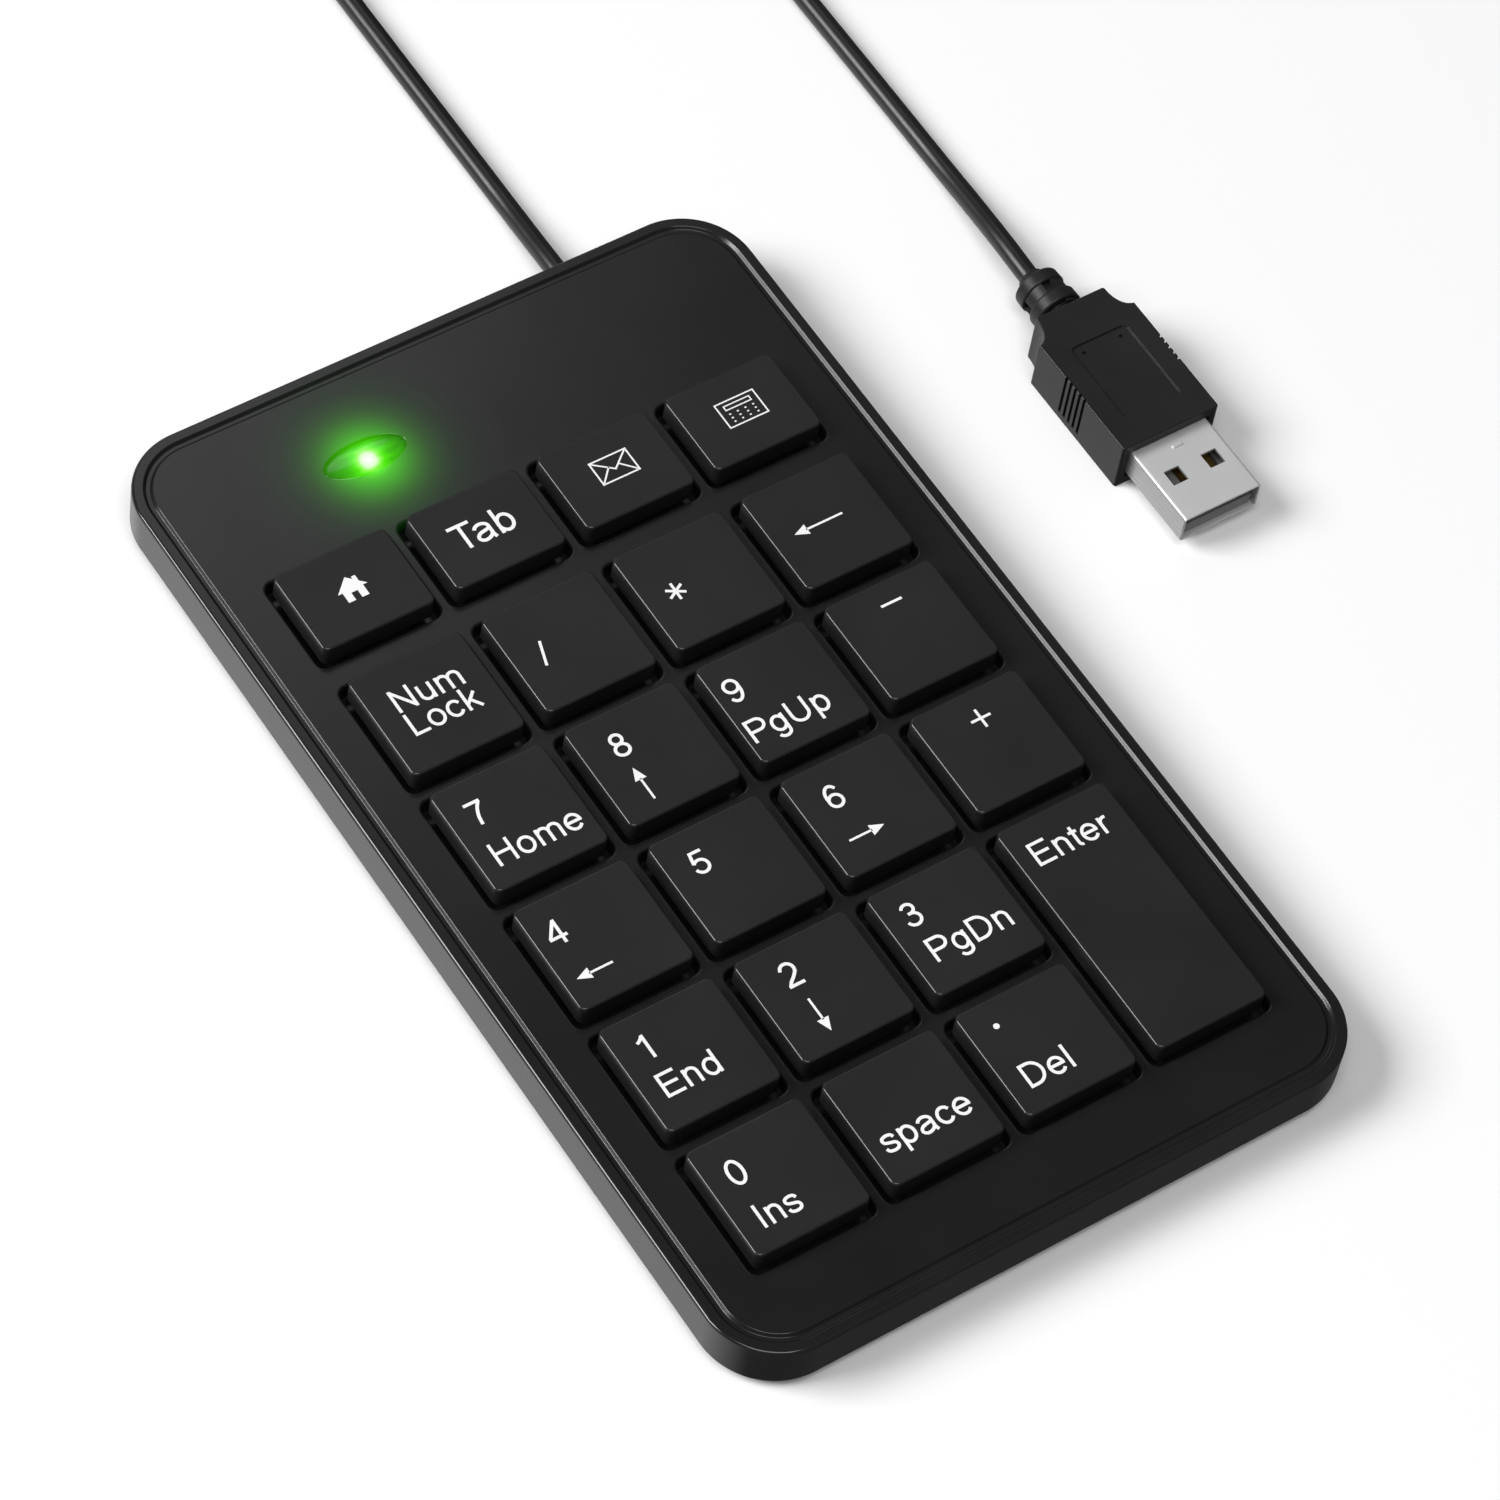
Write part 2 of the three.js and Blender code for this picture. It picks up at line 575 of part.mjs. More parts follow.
function plugMould() {
  const { halfWidth, height, corner, neckHalf, edge } = MOULD;
  const waist = PLUG.mouldBack + MOULD.waist * (PLUG.shoulder - PLUG.mouldBack);
  const outline = new THREE.Shape();
  outline.moveTo(PLUG.x - halfWidth + corner, PLUG.mouldFront);
  outline.lineTo(PLUG.x + halfWidth - corner, PLUG.mouldFront);
  outline.lineTo(PLUG.x + halfWidth, PLUG.mouldFront + corner);
  outline.lineTo(PLUG.x + halfWidth, PLUG.mouldBack);
  outline.quadraticCurveTo(PLUG.x + neckHalf, waist, PLUG.x + neckHalf, PLUG.shoulder);
  outline.lineTo(PLUG.x - neckHalf, PLUG.shoulder);
  outline.quadraticCurveTo(PLUG.x - neckHalf, waist, PLUG.x - halfWidth, PLUG.mouldBack);
  outline.lineTo(PLUG.x - halfWidth, PLUG.mouldFront + corner);
  outline.closePath();
  let mould = slab(outline, 0, height, 5, edge);

  const panelY = PLUG.mouldFront + PANEL.middle;
  const panel = roundRect(PANEL.width, PANEL.length, PANEL.corner, PLUG.x, panelY);
  mould = mould.subtract(slab(panel, height - PANEL.depth, height + PAST, 3));
  const floor = halfWidth - GRIP.depth;
  const outside = halfWidth + PAST;
  for (let i = 0; i < GRIP.count; i++) {
    const y = PLUG.mouldFront + GRIP.first + i * GRIP.pitch;
    const groove = (x0, x1) => box(PLUG.x + x0, PLUG.x + x1, y, y + GRIP.width, GRIP.bottom, GRIP.top);
    mould = mould.subtract(groove(-outside, -floor)).subtract(groove(floor, outside));
  }
  const pocketHalf = SHELL.width / 2 + CLEARANCE;
  const pocketHigh = SHELL.height / 2 + CLEARANCE;
  const [pocketFront, pocketBack] = [PLUG.mouldFront - PAST, SHELL.back + CLEARANCE];
  const pocket = box(
    PLUG.x - pocketHalf, PLUG.x + pocketHalf, pocketFront, pocketBack,
    SHELL.z - pocketHigh, SHELL.z + pocketHigh,
  );
  mould = mould.subtract(pocket);

  const start = PLUG.shoulder - PAST;
  const neck = [[0, start], [RELIEF_PROFILE[0][0], start], ...RELIEF_PROFILE, [0, PLUG.tail]];
  const relief = new THREE.LatheGeometry(neck.map((p) => new THREE.Vector2(...p)), 14);
  relief.translate(PLUG.x, 0, SHELL.z);
  return mould.add(solid(relief));
}

// Turns a slab drawn in the X-Z plane so that it runs along Y.
function alongY(shape, y0, y1, segments) {
  const geometry = new THREE.ExtrudeGeometry(shape, {
    depth: y1 - y0,
    curveSegments: segments,
    bevelEnabled: false,
  });
  geometry.rotateX(Math.PI / 2);
  geometry.translate(0, y1, 0);
  return solid(geometry);
}

function plugShell() {
  const { width, height, wall, corner, z } = SHELL;
  const outer = roundRect(width, height, corner, PLUG.x, z);
  outer.holes.push(roundRect(width - 2 * wall, height - 2 * wall, corner - wall, PLUG.x, z));
  let shell = alongY(outer, PLUG.front, SHELL.back, 3);
  for (const side of [-1, 1]) {
    const x = PLUG.x + side * WINDOW.offset;
    const [y0, y1] = [PLUG.front + WINDOW.front, PLUG.front + WINDOW.back];
    shell = shell.subtract(box(x - WINDOW.half, x + WINDOW.half, y0, y1, z - height, z + height));
  }
  return shell;
}

function plugTongue() {
  const { half, bottom, top, slot, slotHalf } = TONGUE;
  const front = PLUG.front + TONGUE.front;
  const back = SHELL.back - PAST;
  let tongue = box(PLUG.x - half, PLUG.x + half, front, back, bottom, top);
  for (const { offset } of CONTACTS) {
    const [x0, x1] = [PLUG.x + offset - slotHalf, PLUG.x + offset + slotHalf];
    tongue = tongue.subtract(box(x0, x1, front + TONGUE.front, back - PAST, slot, top + PAST));
  }
  return tongue;
}

function plugContact({ offset, front }) {
  const x = PLUG.x + offset;
  const { slot, top, contactHalf } = TONGUE;
  const [y0, y1] = [PLUG.front + front, SHELL.back - 2 * PAST - CLEARANCE];
  return box(x - contactHalf, x + contactHalf, y0, y1, slot + CLEARANCE, top - JOIN / 2);
}

// ---------- the whole keypad ----------
const group = new THREE.Group();
const add = (name, shape, material) => group.add(toMesh(name, shape, material()));

add("top_cover", topCover(), MATERIAL.caseBlack);
add("bottom_cover", bottomCover(), MATERIAL.caseBlack);
for (const key of KEYS) add(key.name, keycap(key), MATERIAL.keyBlack);
add("enter_stabiliser_wire", enterWire(), MATERIAL.spring);
add("dome_sheet", domeSheet(), MATERIAL.silicone);
add("membrane_top_film", film(FILM.topZ, false, true), MATERIAL.film);
add("membrane_spacer_film", film(FILM.spacerZ, true, false), MATERIAL.film);
add("membrane_bottom_film", film(FILM.bottomZ, false, true), MATERIAL.film);
add("circuit_board", circuitBoard(), MATERIAL.board);
add("controller_chip", controllerChip(), MATERIAL.chip);
add("status_led", statusLed(), MATERIAL.greenLens);
add("led_lens", ledLens(), MATERIAL.greenLens);
add("cord_header", cordHeader(), MATERIAL.nylon);
add("cord_grommet", cordGrommet(), MATERIAL.rubber);
SCREW_AT.forEach((place, i) => add(`case_screw_${i + 1}`, caseScrew(place), MATERIAL.screw));
FOOT_AT.forEach((place, i) => add(`foot_${i + 1}`, foot(place), MATERIAL.rubber));
add("cord_exit_run", cordRun(EXIT_RUN), MATERIAL.cord);
add("cord_coil", cordCoil(), MATERIAL.cord);
add("cord_plug_run", cordRun(PLUG_RUN), MATERIAL.cord);
add("cord_tie", cordTie(), MATERIAL.cord);
add("plug_mould", plugMould(), MATERIAL.cord);
add("plug_shell", plugShell(), MATERIAL.steel);
add("plug_tongue", plugTongue(), MATERIAL.insulator);
CONTACTS.forEach((contact, i) => add(`plug_contact_${i + 1}`, plugContact(contact), MATERIAL.gold));

export default group;
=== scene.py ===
import json
import math

import bmesh
import bpy
from mathutils import Matrix, Quaternion, Vector

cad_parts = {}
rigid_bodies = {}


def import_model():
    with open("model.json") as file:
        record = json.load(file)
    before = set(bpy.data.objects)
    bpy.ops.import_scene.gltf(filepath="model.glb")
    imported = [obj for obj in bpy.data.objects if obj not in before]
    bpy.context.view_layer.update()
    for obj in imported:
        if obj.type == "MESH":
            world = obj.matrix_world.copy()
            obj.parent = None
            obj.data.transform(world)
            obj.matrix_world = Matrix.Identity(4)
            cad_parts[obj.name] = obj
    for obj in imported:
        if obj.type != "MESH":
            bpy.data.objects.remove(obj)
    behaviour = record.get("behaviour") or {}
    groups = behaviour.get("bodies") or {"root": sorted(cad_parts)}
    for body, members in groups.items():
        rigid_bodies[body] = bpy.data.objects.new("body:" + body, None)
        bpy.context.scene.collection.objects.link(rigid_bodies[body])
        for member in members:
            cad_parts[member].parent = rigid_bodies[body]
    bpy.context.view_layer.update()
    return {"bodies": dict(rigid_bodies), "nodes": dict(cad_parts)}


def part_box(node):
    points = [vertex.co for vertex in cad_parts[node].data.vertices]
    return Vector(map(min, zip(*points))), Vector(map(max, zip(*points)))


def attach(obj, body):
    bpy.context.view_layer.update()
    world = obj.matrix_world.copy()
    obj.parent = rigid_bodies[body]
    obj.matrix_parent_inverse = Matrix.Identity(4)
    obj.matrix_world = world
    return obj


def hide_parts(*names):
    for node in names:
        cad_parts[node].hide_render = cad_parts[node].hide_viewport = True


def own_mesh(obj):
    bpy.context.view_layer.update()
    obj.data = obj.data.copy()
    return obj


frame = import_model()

MM = 0.001
ROOT = "case"

# ---------- sizes ----------
CASE_LOW, CASE_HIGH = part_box("top_cover")
CASE_HALF = Vector((CASE_HIGH.x, CASE_HIGH.y))
FACE_Z = CASE_HIGH.z
CASE_CORNER = 9.7 * MM
WALL = 2.0 * MM
CEILING_Z = FACE_Z - 1.2 * MM
FIELD_Z = 4.75 * MM
FIELD_HALF = 37.5 * MM
FIELD_MARGIN = 1.4 * MM
WELL_GAP = 0.75 * MM
WELL_CORNER = 1.3 * MM
WELL_FLOOR = 5.55 * MM
GUIDE_SIDE = 6.2 * MM
SCREW_PLACES = [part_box(f"case_screw_{i + 1}") for i in range(6)]
FOOT_PLACES = [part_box(f"foot_{i + 1}") for i in range(4)]
FOOT_SIDES = 48
SCREW_BORE = 1.15 * MM
BOSS_RADIUS = 1.9 * MM
BOSS_LOW = 2.5 * MM
BOSS_TOP = 5.5 * MM
BOARD_POSTS = [(-5.5 * MM, 61.9 * MM), (31.0 * MM, 61.9 * MM)]
BOARD_POST_RADIUS = 1.5 * MM
BOARD_POST_LOW = 4.0 * MM

KEY_NAMES = sorted(body for body in frame["bodies"] if body.startswith("key_"))
KEY_CORNER = 0.95 * MM
KEY_WALL = 1.0 * MM
KEY_SKIRT = 7.4 * MM
KEY_CEILING = 9.3 * MM
STEM_SIDE = 5.6 * MM
STEM_CORNER = 1.0 * MM
STEM_FOOT = 4.15 * MM
LUG_LOW = STEM_FOOT + 0.02 * MM
LUG_TOP = 4.5 * MM
LUG_WIDTH = 1.8 * MM
LUG_REACH = 3.6 * MM

LENS_LOW, LENS_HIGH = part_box("led_lens")
LENS_CENTRE = (LENS_LOW + LENS_HIGH) / 2
LENS_HALF = Vector((5.65 * MM, 2.45 * MM))
LENS_GAP = 0.12 * MM
GLOW_AT = Vector((LENS_CENTRE.x + 0.15 * MM, LENS_CENTRE.y - 0.65 * MM, FACE_Z))

CORD_DIAMETER = 2.8 * MM
CORD_EXIT = Vector((23.3 * MM, CASE_HIGH.y, 3.2 * MM))
MOUTH = 1.8 * MM
COIL_CENTRE = Vector((58.75 * MM, 154.0 * MM))
COIL_MID_TURN = 16.8 * MM
COIL_PITCH = 2.85 * MM
COIL_FLOOR = 1.85 * MM

PLUG_LOW, PLUG_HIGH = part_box("plug_mould")
SHELL_LOW, SHELL_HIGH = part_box("plug_shell")
PLUG_X = (PLUG_LOW.x + PLUG_HIGH.x) / 2
SHELL_Z = (SHELL_LOW.z + SHELL_HIGH.z) / 2


# ---------- outlines ----------
def rounded(corners, steps=5, closed=False):
    """A path through (a, b, radius) corners, each corner turned into an arc of its radius."""
    path = []
    count = len(corners)
    for i, (a, b, radius) in enumerate(corners):
        here = Vector((a, b))
        if radius == 0 or (not closed and i in (0, count - 1)):
            path.append(here)
            continue
        before = (Vector(corners[i - 1][:2]) - here).normalized()
        after = (Vector(corners[(i + 1) % count][:2]) - here).normalized()
        half = before.angle(after) / 2
        middle = here + (before + after).normalized() * (radius / math.sin(half))
        start = here + before * (radius / math.tan(half)) - middle
        sweep = math.pi - 2 * half
        if before.x * after.y - before.y * after.x > 0:
            sweep = -sweep
        for k in range(steps + 1):
            turn = Matrix.Rotation(sweep * k / steps, 2)
            path.append(middle + turn @ start)
    return path


def four_corners(left, front, right, back):
    """The corners of a rectangle, anticlockwise from the front left one."""
    return [Vector(place) for place in ((left, front), (right, front), (right, back), (left, back))]


def rectangle(half_x, half_y, corner, x=0.0, y=0.0, steps=6):
    """A rectangle with round corners, anticlockwise."""
    corners = four_corners(x - half_x, y - half_y, x + half_x, y + half_y)
    return rounded([(*place, corner) for place in corners[1:] + corners[:1]], steps, closed=True)


def ellipse(half_x, half_y, x, y, sides=64):
    turns = [2 * math.pi * i / sides for i in range(sides)]
    return [Vector((x + half_x * math.cos(turn), y + half_y * math.sin(turn))) for turn in turns]


def circle(radius, x, y, sides=32):
    return ellipse(radius, radius, x, y, sides)


def shrink(outline, inset):
    """The outline moved inwards by inset, or outwards if inset is negative."""
    moved = []
    count = len(outline)
    for i, point in enumerate(outline):
        ahead = (outline[(i + 1) % count] - point).normalized()
        behind = (point - outline[i - 1]).normalized()
        inwards = Vector((-ahead.y - behind.y, ahead.x + behind.x)).normalized()
        slant = inwards.dot(Vector((-ahead.y, ahead.x)))
        moved.append(point + inwards * (inset / slant))
    return moved


# ---------- meshes ----------
SAME_PLACE = 0.0005 * MM
SAME_PLANE = 0.9999
SHARPEST_SMOOTH = math.cos(math.radians(38))
RUBBED_AND_HIGHLIT = "rubbed_and_highlit"
EDGE_STRIP = 0.13 * MM


def ring(bm, outline, z):
    return [bm.verts.new((p.x, p.y, z)) for p in outline]


def upright_ring(bm, outline, y):
    """The outline stood up across the Y axis."""
    return [bm.verts.new((p.x, y, p.y)) for p in outline]


def join_rings(bm, lower, upper):
    count = len(lower)
    for i in range(count):
        j = (i + 1) % count
        bm.faces.new((lower[i], lower[j], upper[j], upper[i]))


def loft(bm, outline, profile):
    """Walls round the outline through the profile's (inset, z); returns the first and the last ring."""
    rings = [ring(bm, shrink(outline, inset), z) for inset, z in profile]
    for lower, upper in zip(rings, rings[1:]):
        join_rings(bm, lower, upper)
    return rings[0], rings[-1]


def plate(bm, outer, holes=()):
    """A flat face inside the outer ring, with an opening for each of the other rings."""
    if not holes:
        bm.faces.new(outer)
        return
    edges = []
    for loop in [outer, *holes]:
        for i, vertex in enumerate(loop):
            pair = (vertex, loop[(i + 1) % len(loop)])
            edges.append(bm.edges.get(pair) or bm.edges.new(pair))
    bmesh.ops.triangle_fill(bm, use_beauty=True, use_dissolve=False, edges=edges)


def solid(bm, outline, profile):
    """A closed body: walls round the outline, and a flat face at each end of the profile."""
    for end in loft(bm, outline, profile):
        plate(bm, end)


def bar(bm, section, front, back):
    """A closed body along Y with that section."""
    near, far = upright_ring(bm, section, front), upright_ring(bm, section, back)
    join_rings(bm, near, far)
    bm.faces.new(near)
    bm.faces.new(far)


def sleeve(bm, sections):
    """A hollow body along Y; its wall runs through the (outline, y) sections and back to the first."""
    rings = [upright_ring(bm, outline, y) for outline, y in sections]
    for i, here in enumerate(rings):
        join_rings(bm, here, rings[(i + 1) % len(rings)])


def lathe(bm, profile):
    """A closed body round the Y axis; the profile is (radius, y) with both ends on the axis."""
    sides = 40
    rings = [upright_ring(bm, circle(radius, 0, 0, sides), y) for radius, y in profile[1:-1]]
    for lower, upper in zip(rings, rings[1:]):
        join_rings(bm, lower, upper)
    bm.faces.new(rings[0])
    bm.faces.new(rings[-1])


def to_object(name, bm, material):
    bmesh.ops.remove_doubles(bm, verts=bm.verts, dist=SAME_PLACE)
    bmesh.ops.recalc_face_normals(bm, faces=bm.faces)
    mesh = bpy.data.meshes.new(name)
    bm.to_mesh(mesh)
    bm.free()
    obj = bpy.data.objects.new(name, mesh)
    bpy.context.scene.collection.objects.link(obj)
    if material is not None:
        mesh.materials.append(material)
    return obj


def cut(obj, cutter, operation="DIFFERENCE"):
    """Cuts the cutter out of obj for good, or joins it on, and removes the cutter."""
    modifier = obj.modifiers.new("cut", "BOOLEAN")
    modifier.operation = operation
    modifier.solver = "EXACT"
    modifier.object = cutter
    bpy.context.view_layer.update()
    with bpy.context.temp_override(object=obj, active_object=obj, selected_objects=[obj]):
        bpy.ops.object.modifier_apply(modifier=modifier.name)
    bpy.data.objects.remove(cutter)


def cut_blocks(obj, boxes, operation="DIFFERENCE"):
    """Cuts boxes out of obj, or joins them on; a box is two opposite corners."""
    bm = bmesh.new()
    for (left, front, foot), (right, back, head) in boxes:
        solid(bm, four_corners(left, front, right, back), [(0, foot), (0, head)])
    cut(obj, to_object("cutter", bm, None), operation)


def reached(seed, joins):
    """The faces reached from the seed face over edges, as long as joins(here, edge, beyond) is true."""
    found = {seed}
    stack = [seed]
    while stack:
        here = stack.pop()
        for edge in here.edges:
            for beyond in edge.link_faces:
                if beyond not in found and joins(here, edge, beyond):
                    found.add(beyond)
                    stack.append(beyond)
    return found


def flat_regions(bm):
    """For each face, the area and the width of the whole flat region that it belongs to."""
    found = [None] * len(bm.faces)
    for seed in bm.faces:
        if found[seed.index] is not None:
            continue
        region = reached(seed, lambda here, edge, beyond: beyond.normal.dot(seed.normal) > SAME_PLANE)
        area = sum(face.calc_area() for face in region)
        longest = max(edge.calc_length() for face in region for edge in face.edges)
        for face in region:
            found[face.index] = (area, area / longest)
    return found


def shade_evenly(obj):
    """Flat areas stay flat and rounded edges turn smoothly between them; steeper edges stay crisp.
    The narrow strips of the rounded edges are marked as the places that hands rub, and the material paints
    them lighter as a highlight."""
    bm = bmesh.new()
    bm.from_mesh(obj.data)
    bm.faces.ensure_lookup_table()
    bm.normal_update()
    regions = flat_regions(bm)
    normals = []
    for face in bm.faces:
        for loop in face.loops:

            def turns_smoothly(here, edge, beyond):
                return loop.vert in edge.verts and beyond.normal.dot(here.normal) > SHARPEST_SMOOTH

            total = Vector()
            for member in reached(face, turns_smoothly):
                total += member.normal * (regions[member.index][0] / MM / MM) ** 2
            normals.append(total.normalized() if total.length > 0 else face.normal.copy())
    bm.free()
    edges = obj.data.attributes.new(RUBBED_AND_HIGHLIT, "FLOAT", "FACE")
    edges.data.foreach_set("value", [1.0 if width < EDGE_STRIP else 0.0 for _, width in regions])
    obj.data.shade_smooth()
    obj.data.normals_split_custom_set(normals)


def settle(obj, body, slot, *nodes):
    """Puts the finished piece on its body, in place of its CAD nodes; the slot is not used."""
    if obj.type == "MESH":
        shade_evenly(obj)
    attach(obj, body)
    if nodes:
        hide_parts(*nodes)
    return obj


# ---------- materials ----------
def feed(tree, value, socket):
    """Sets the socket to a plain value, or links it to another node's socket."""
    if isinstance(value, bpy.types.NodeSocket):
        tree.links.new(value, socket)
    else:
        socket.default_value = value


def add_node(tree, kind, output, inputs, **settings):
    """Adds a shader node with those settings and inputs, and returns its output."""
    node = tree.nodes.new("ShaderNode" + kind)
    for name, value in settings.items():
        setattr(node, name, value)
    for key, value in inputs.items():
        feed(tree, value, node.inputs[key])
    return node.outputs[output]


def noise(tree, coordinates, size, stretch=(1, 1, 1), detail=3.0):
    """Noise whose lumps are about size metres across."""
    place = add_node(tree, "Mapping", "Vector", {"Vector": coordinates, "Scale": stretch})
    return add_node(tree, "TexNoise", "Fac", {"Vector": place, "Scale": 1 / size, "Detail": detail})


def ranged(tree, value, low, high, from_low=0.3, from_high=0.7):
    limits = {"From Min": from_low, "From Max": from_high, "To Min": low, "To Max": high}
    return add_node(tree, "MapRange", "Result", {"Value": value, **limits})


def blend_colours(tree, factor, first, second):
    first, second = ((*colour, 1) if isinstance(colour, tuple) else colour for colour in (first, second))
    return add_node(tree, "Mix", "Result", {"Factor": factor, "A": first, "B": second}, data_type="RGBA")


def product(tree, first, second):
    return add_node(tree, "Math", "Value", {0: first, 1: second}, operation="MULTIPLY")


DRIFT_SIZE = 14 * MM
GLOSS_SPREAD = 0.04
BUMP = 0.5
# An edge that hands scuff is glossier and smoother than the rest, and lighter: partly from handling, partly
# a painted highlight along the edge.
RUBBED_AND_HIGHLIT_LIGHTER = 1.3
RUBBED_AND_HIGHLIT_LIFT = 0.003
RUBBED_GLOSS = 0.2
RUBBED_BUMP = 0.1
LEAST_WEAR_AND_HIGHLIGHT = 0.6


def moulded(
    name, colour, roughness, vary=0.15, grain=0.12 * MM, depth=0.004 * MM, wear_and_highlight=0.8, metallic=0.0, ior=1.5,
    stretch=(1, 1, 1),
):
    """A moulded or rolled surface: fine grain, edges scuffed by hands and painted lighter as a highlight, a
    little drift in colour and gloss.
    """
    material = bpy.data.materials.new(name)
    material.use_nodes = True
    tree = material.node_tree
    coordinates = add_node(tree, "TexCoord", "Object", {})
    drift = noise(tree, coordinates, DRIFT_SIZE)
    fine = noise(tree, coordinates, grain, stretch)
    dark = tuple(c * (1 - vary) for c in colour)
    light = tuple(min(1.0, c * (1 + vary)) for c in colour)
    # Edges are painted lighter: partly from handling, partly a painted highlight.
    worn_and_highlit = tuple(min(1.0, c * RUBBED_AND_HIGHLIT_LIGHTER + RUBBED_AND_HIGHLIT_LIFT) for c in colour)
    tone = blend_colours(tree, ranged(tree, drift, 0, 1), dark, light)
    edges = add_node(tree, "Attribute", "Fac", {}, attribute_name=RUBBED_AND_HIGHLIT)
    rubbed_and_highlit = product(tree, edges, ranged(tree, drift, wear_and_highlight * LEAST_WEAR_AND_HIGHLIGHT, wear_and_highlight))
    speckle = ranged(tree, fine, roughness - GLOSS_SPREAD, roughness + GLOSS_SPREAD)
    polish = {"Factor": rubbed_and_highlit, "A": speckle, "B": roughness * RUBBED_GLOSS}
    relief = {"Strength": ranged(tree, rubbed_and_highlit, BUMP, RUBBED_BUMP, 0, 1), "Distance": depth, "Height": fine}
    surface = {
        "Base Color": blend_colours(tree, rubbed_and_highlit, tone, worn_and_highlit),
        "Roughness": add_node(tree, "Mix", "Result", polish),
        "Normal": add_node(tree, "Bump", "Normal", relief),
        "Metallic": metallic,
        "IOR": ior,
    }
    for key, value in surface.items():
        feed(tree, value, tree.nodes["Principled BSDF"].inputs[key])
    return material


# How the lamp's painted glow fades: (distance from it, red, green, blue).
GLOW = [
    (0.0, 1.0, 1.0, 1.0), (0.9, 0.8, 1.0, 0.68), (1.5, 0.27, 0.95, 0.08), (2.1, 0.08, 0.8, 0.0),
    (3.0, 0.05, 0.5, 0.0), (4.0, 0.035, 0.355, 0.0), (5.0, 0.026, 0.24, 0.0), (6.0, 0.018, 0.152, 0.0),
    (7.0, 0.012, 0.094, 0.0), (8.0, 0.007, 0.056, 0.0), (9.5, 0.002, 0.028, 0.0), (11.0, 0.0, 0.012, 0.0),
    (14.0, 0.0, 0.003, 0.0), (18.0, 0.0, 0.0, 0.0),
]
GLOW_REACH = GLOW[-1][0] * MM
STREAK_SIZE = 1.3 * MM
STREAK_STRETCH = (0.3, 1, 1)


def paint_lamp_glow(material, unevenness=0.0, deepening=1.0):
    """Paints the lamp's glow into this material as emission, less the further away from the lamp it is; off
    the lamp itself this is a painted pool of light. A deepening above 1 makes the painted glow fade faster
    down into recesses."""
    tree = material.node_tree
    coordinates = add_node(tree, "TexCoord", "Object", {})
    place = add_node(tree, "Mapping", "Vector", {"Vector": coordinates, "Scale": (1, 1, deepening)})
    lamp = (GLOW_AT.x, GLOW_AT.y, GLOW_AT.z * deepening)
    away = add_node(tree, "VectorMath", "Value", {0: place, 1: lamp}, operation="DISTANCE")
    streaks = noise(tree, coordinates, STREAK_SIZE, STREAK_STRETCH, detail=2.0)
    uneven = product(tree, away, ranged(tree, streaks, 1 - unevenness, 1 + unevenness))
    ramp = tree.nodes.new("ShaderNodeValToRGB")
    elements = ramp.color_ramp.elements
    while len(elements) < len(GLOW):
        elements.new(1.0)
    for element, (distance, *colour) in zip(elements, GLOW):
        element.position = distance * MM / GLOW_REACH
        element.color = (*colour, 1)
    feed(tree, ranged(tree, uneven, 0, 1, 0, GLOW_REACH), ramp.inputs["Fac"])
    surface = tree.nodes["Principled BSDF"].inputs
    feed(tree, ramp.outputs["Color"], surface["Emission Color"])
    feed(tree, 1.0, surface["Emission Strength"])


CASE_BLACK = (0.008, 0.008, 0.0085)
CASE_PLASTIC = moulded("case_plastic", CASE_BLACK, 0.22, grain=0.09 * MM, depth=0.0006 * MM)
# The lamp's glow is painted on the case's face round the lens as emission: a painted pool of light.
paint_lamp_glow(CASE_PLASTIC, deepening=6.0)
BASE_PLASTIC = moulded("base_plastic", CASE_BLACK, 0.4, grain=0.12 * MM, depth=0.003 * MM)
KEY_PLASTIC = moulded(
    "key_plastic", (0.0125, 0.0125, 0.0127), 0.38, ior=1.42, grain=0.11 * MM, depth=0.002 * MM, wear_and_highlight=1.0
)
LEGEND_PAINT = moulded("legend_paint", (0.8, 0.8, 0.8), 0.5, vary=0.03, grain=0.08 * MM, wear_and_highlight=0.0)
CORD_VINYL = moulded("cord_vinyl", (0.009, 0.009, 0.0095), 0.33, grain=0.2 * MM, depth=0.002 * MM)
PLUG_VINYL = moulded("plug_vinyl", (0.014, 0.014, 0.0145), 0.4, ior=1.32, grain=0.12 * MM, depth=0.003 * MM)
RUBBER = moulded("foot_rubber", (0.012, 0.012, 0.012), 0.8, grain=0.25 * MM, depth=0.01 * MM)
ROLLED = {"grain": 0.35 * MM, "depth": 0.0003 * MM, "stretch": (1, 0.06, 1)}
PLUG_STEEL = moulded("plug_steel", (0.64, 0.64, 0.645), 0.34, vary=0.05, metallic=0.4, **ROLLED)
# A darker copy of the steel, for the sleeve's side faces: painted shade.
PLUG_STEEL_PAINTED_SHADE = moulded("plug_steel_painted_shade", (0.35, 0.35, 0.355), 0.3, vary=0.08, metallic=0.5, **ROLLED)
SCREW_STEEL = moulded("screw_steel", (0.4, 0.4, 0.41), 0.35, grain=0.15 * MM, metallic=1.0)
SPRING_WIRE = moulded(
    "spring_wire", (0.5, 0.5, 0.51), 0.3, grain=0.2 * MM, metallic=1.0, stretch=(1, 0.1, 1)
)
GOLD = moulded("contact_gold", (0.85, 0.62, 0.24), 0.25, vary=0.08, grain=0.15 * MM, metallic=1.0)
SILICONE = moulded("silicone", (0.72, 0.72, 0.69), 0.45, vary=0.06, grain=0.3 * MM)
FILM = moulded("film", (0.6, 0.66, 0.58), 0.22, vary=0.08, grain=0.5 * MM)
BOARD_GREEN = moulded("board_green", (0.03, 0.14, 0.05), 0.35, vary=0.2, grain=0.3 * MM)
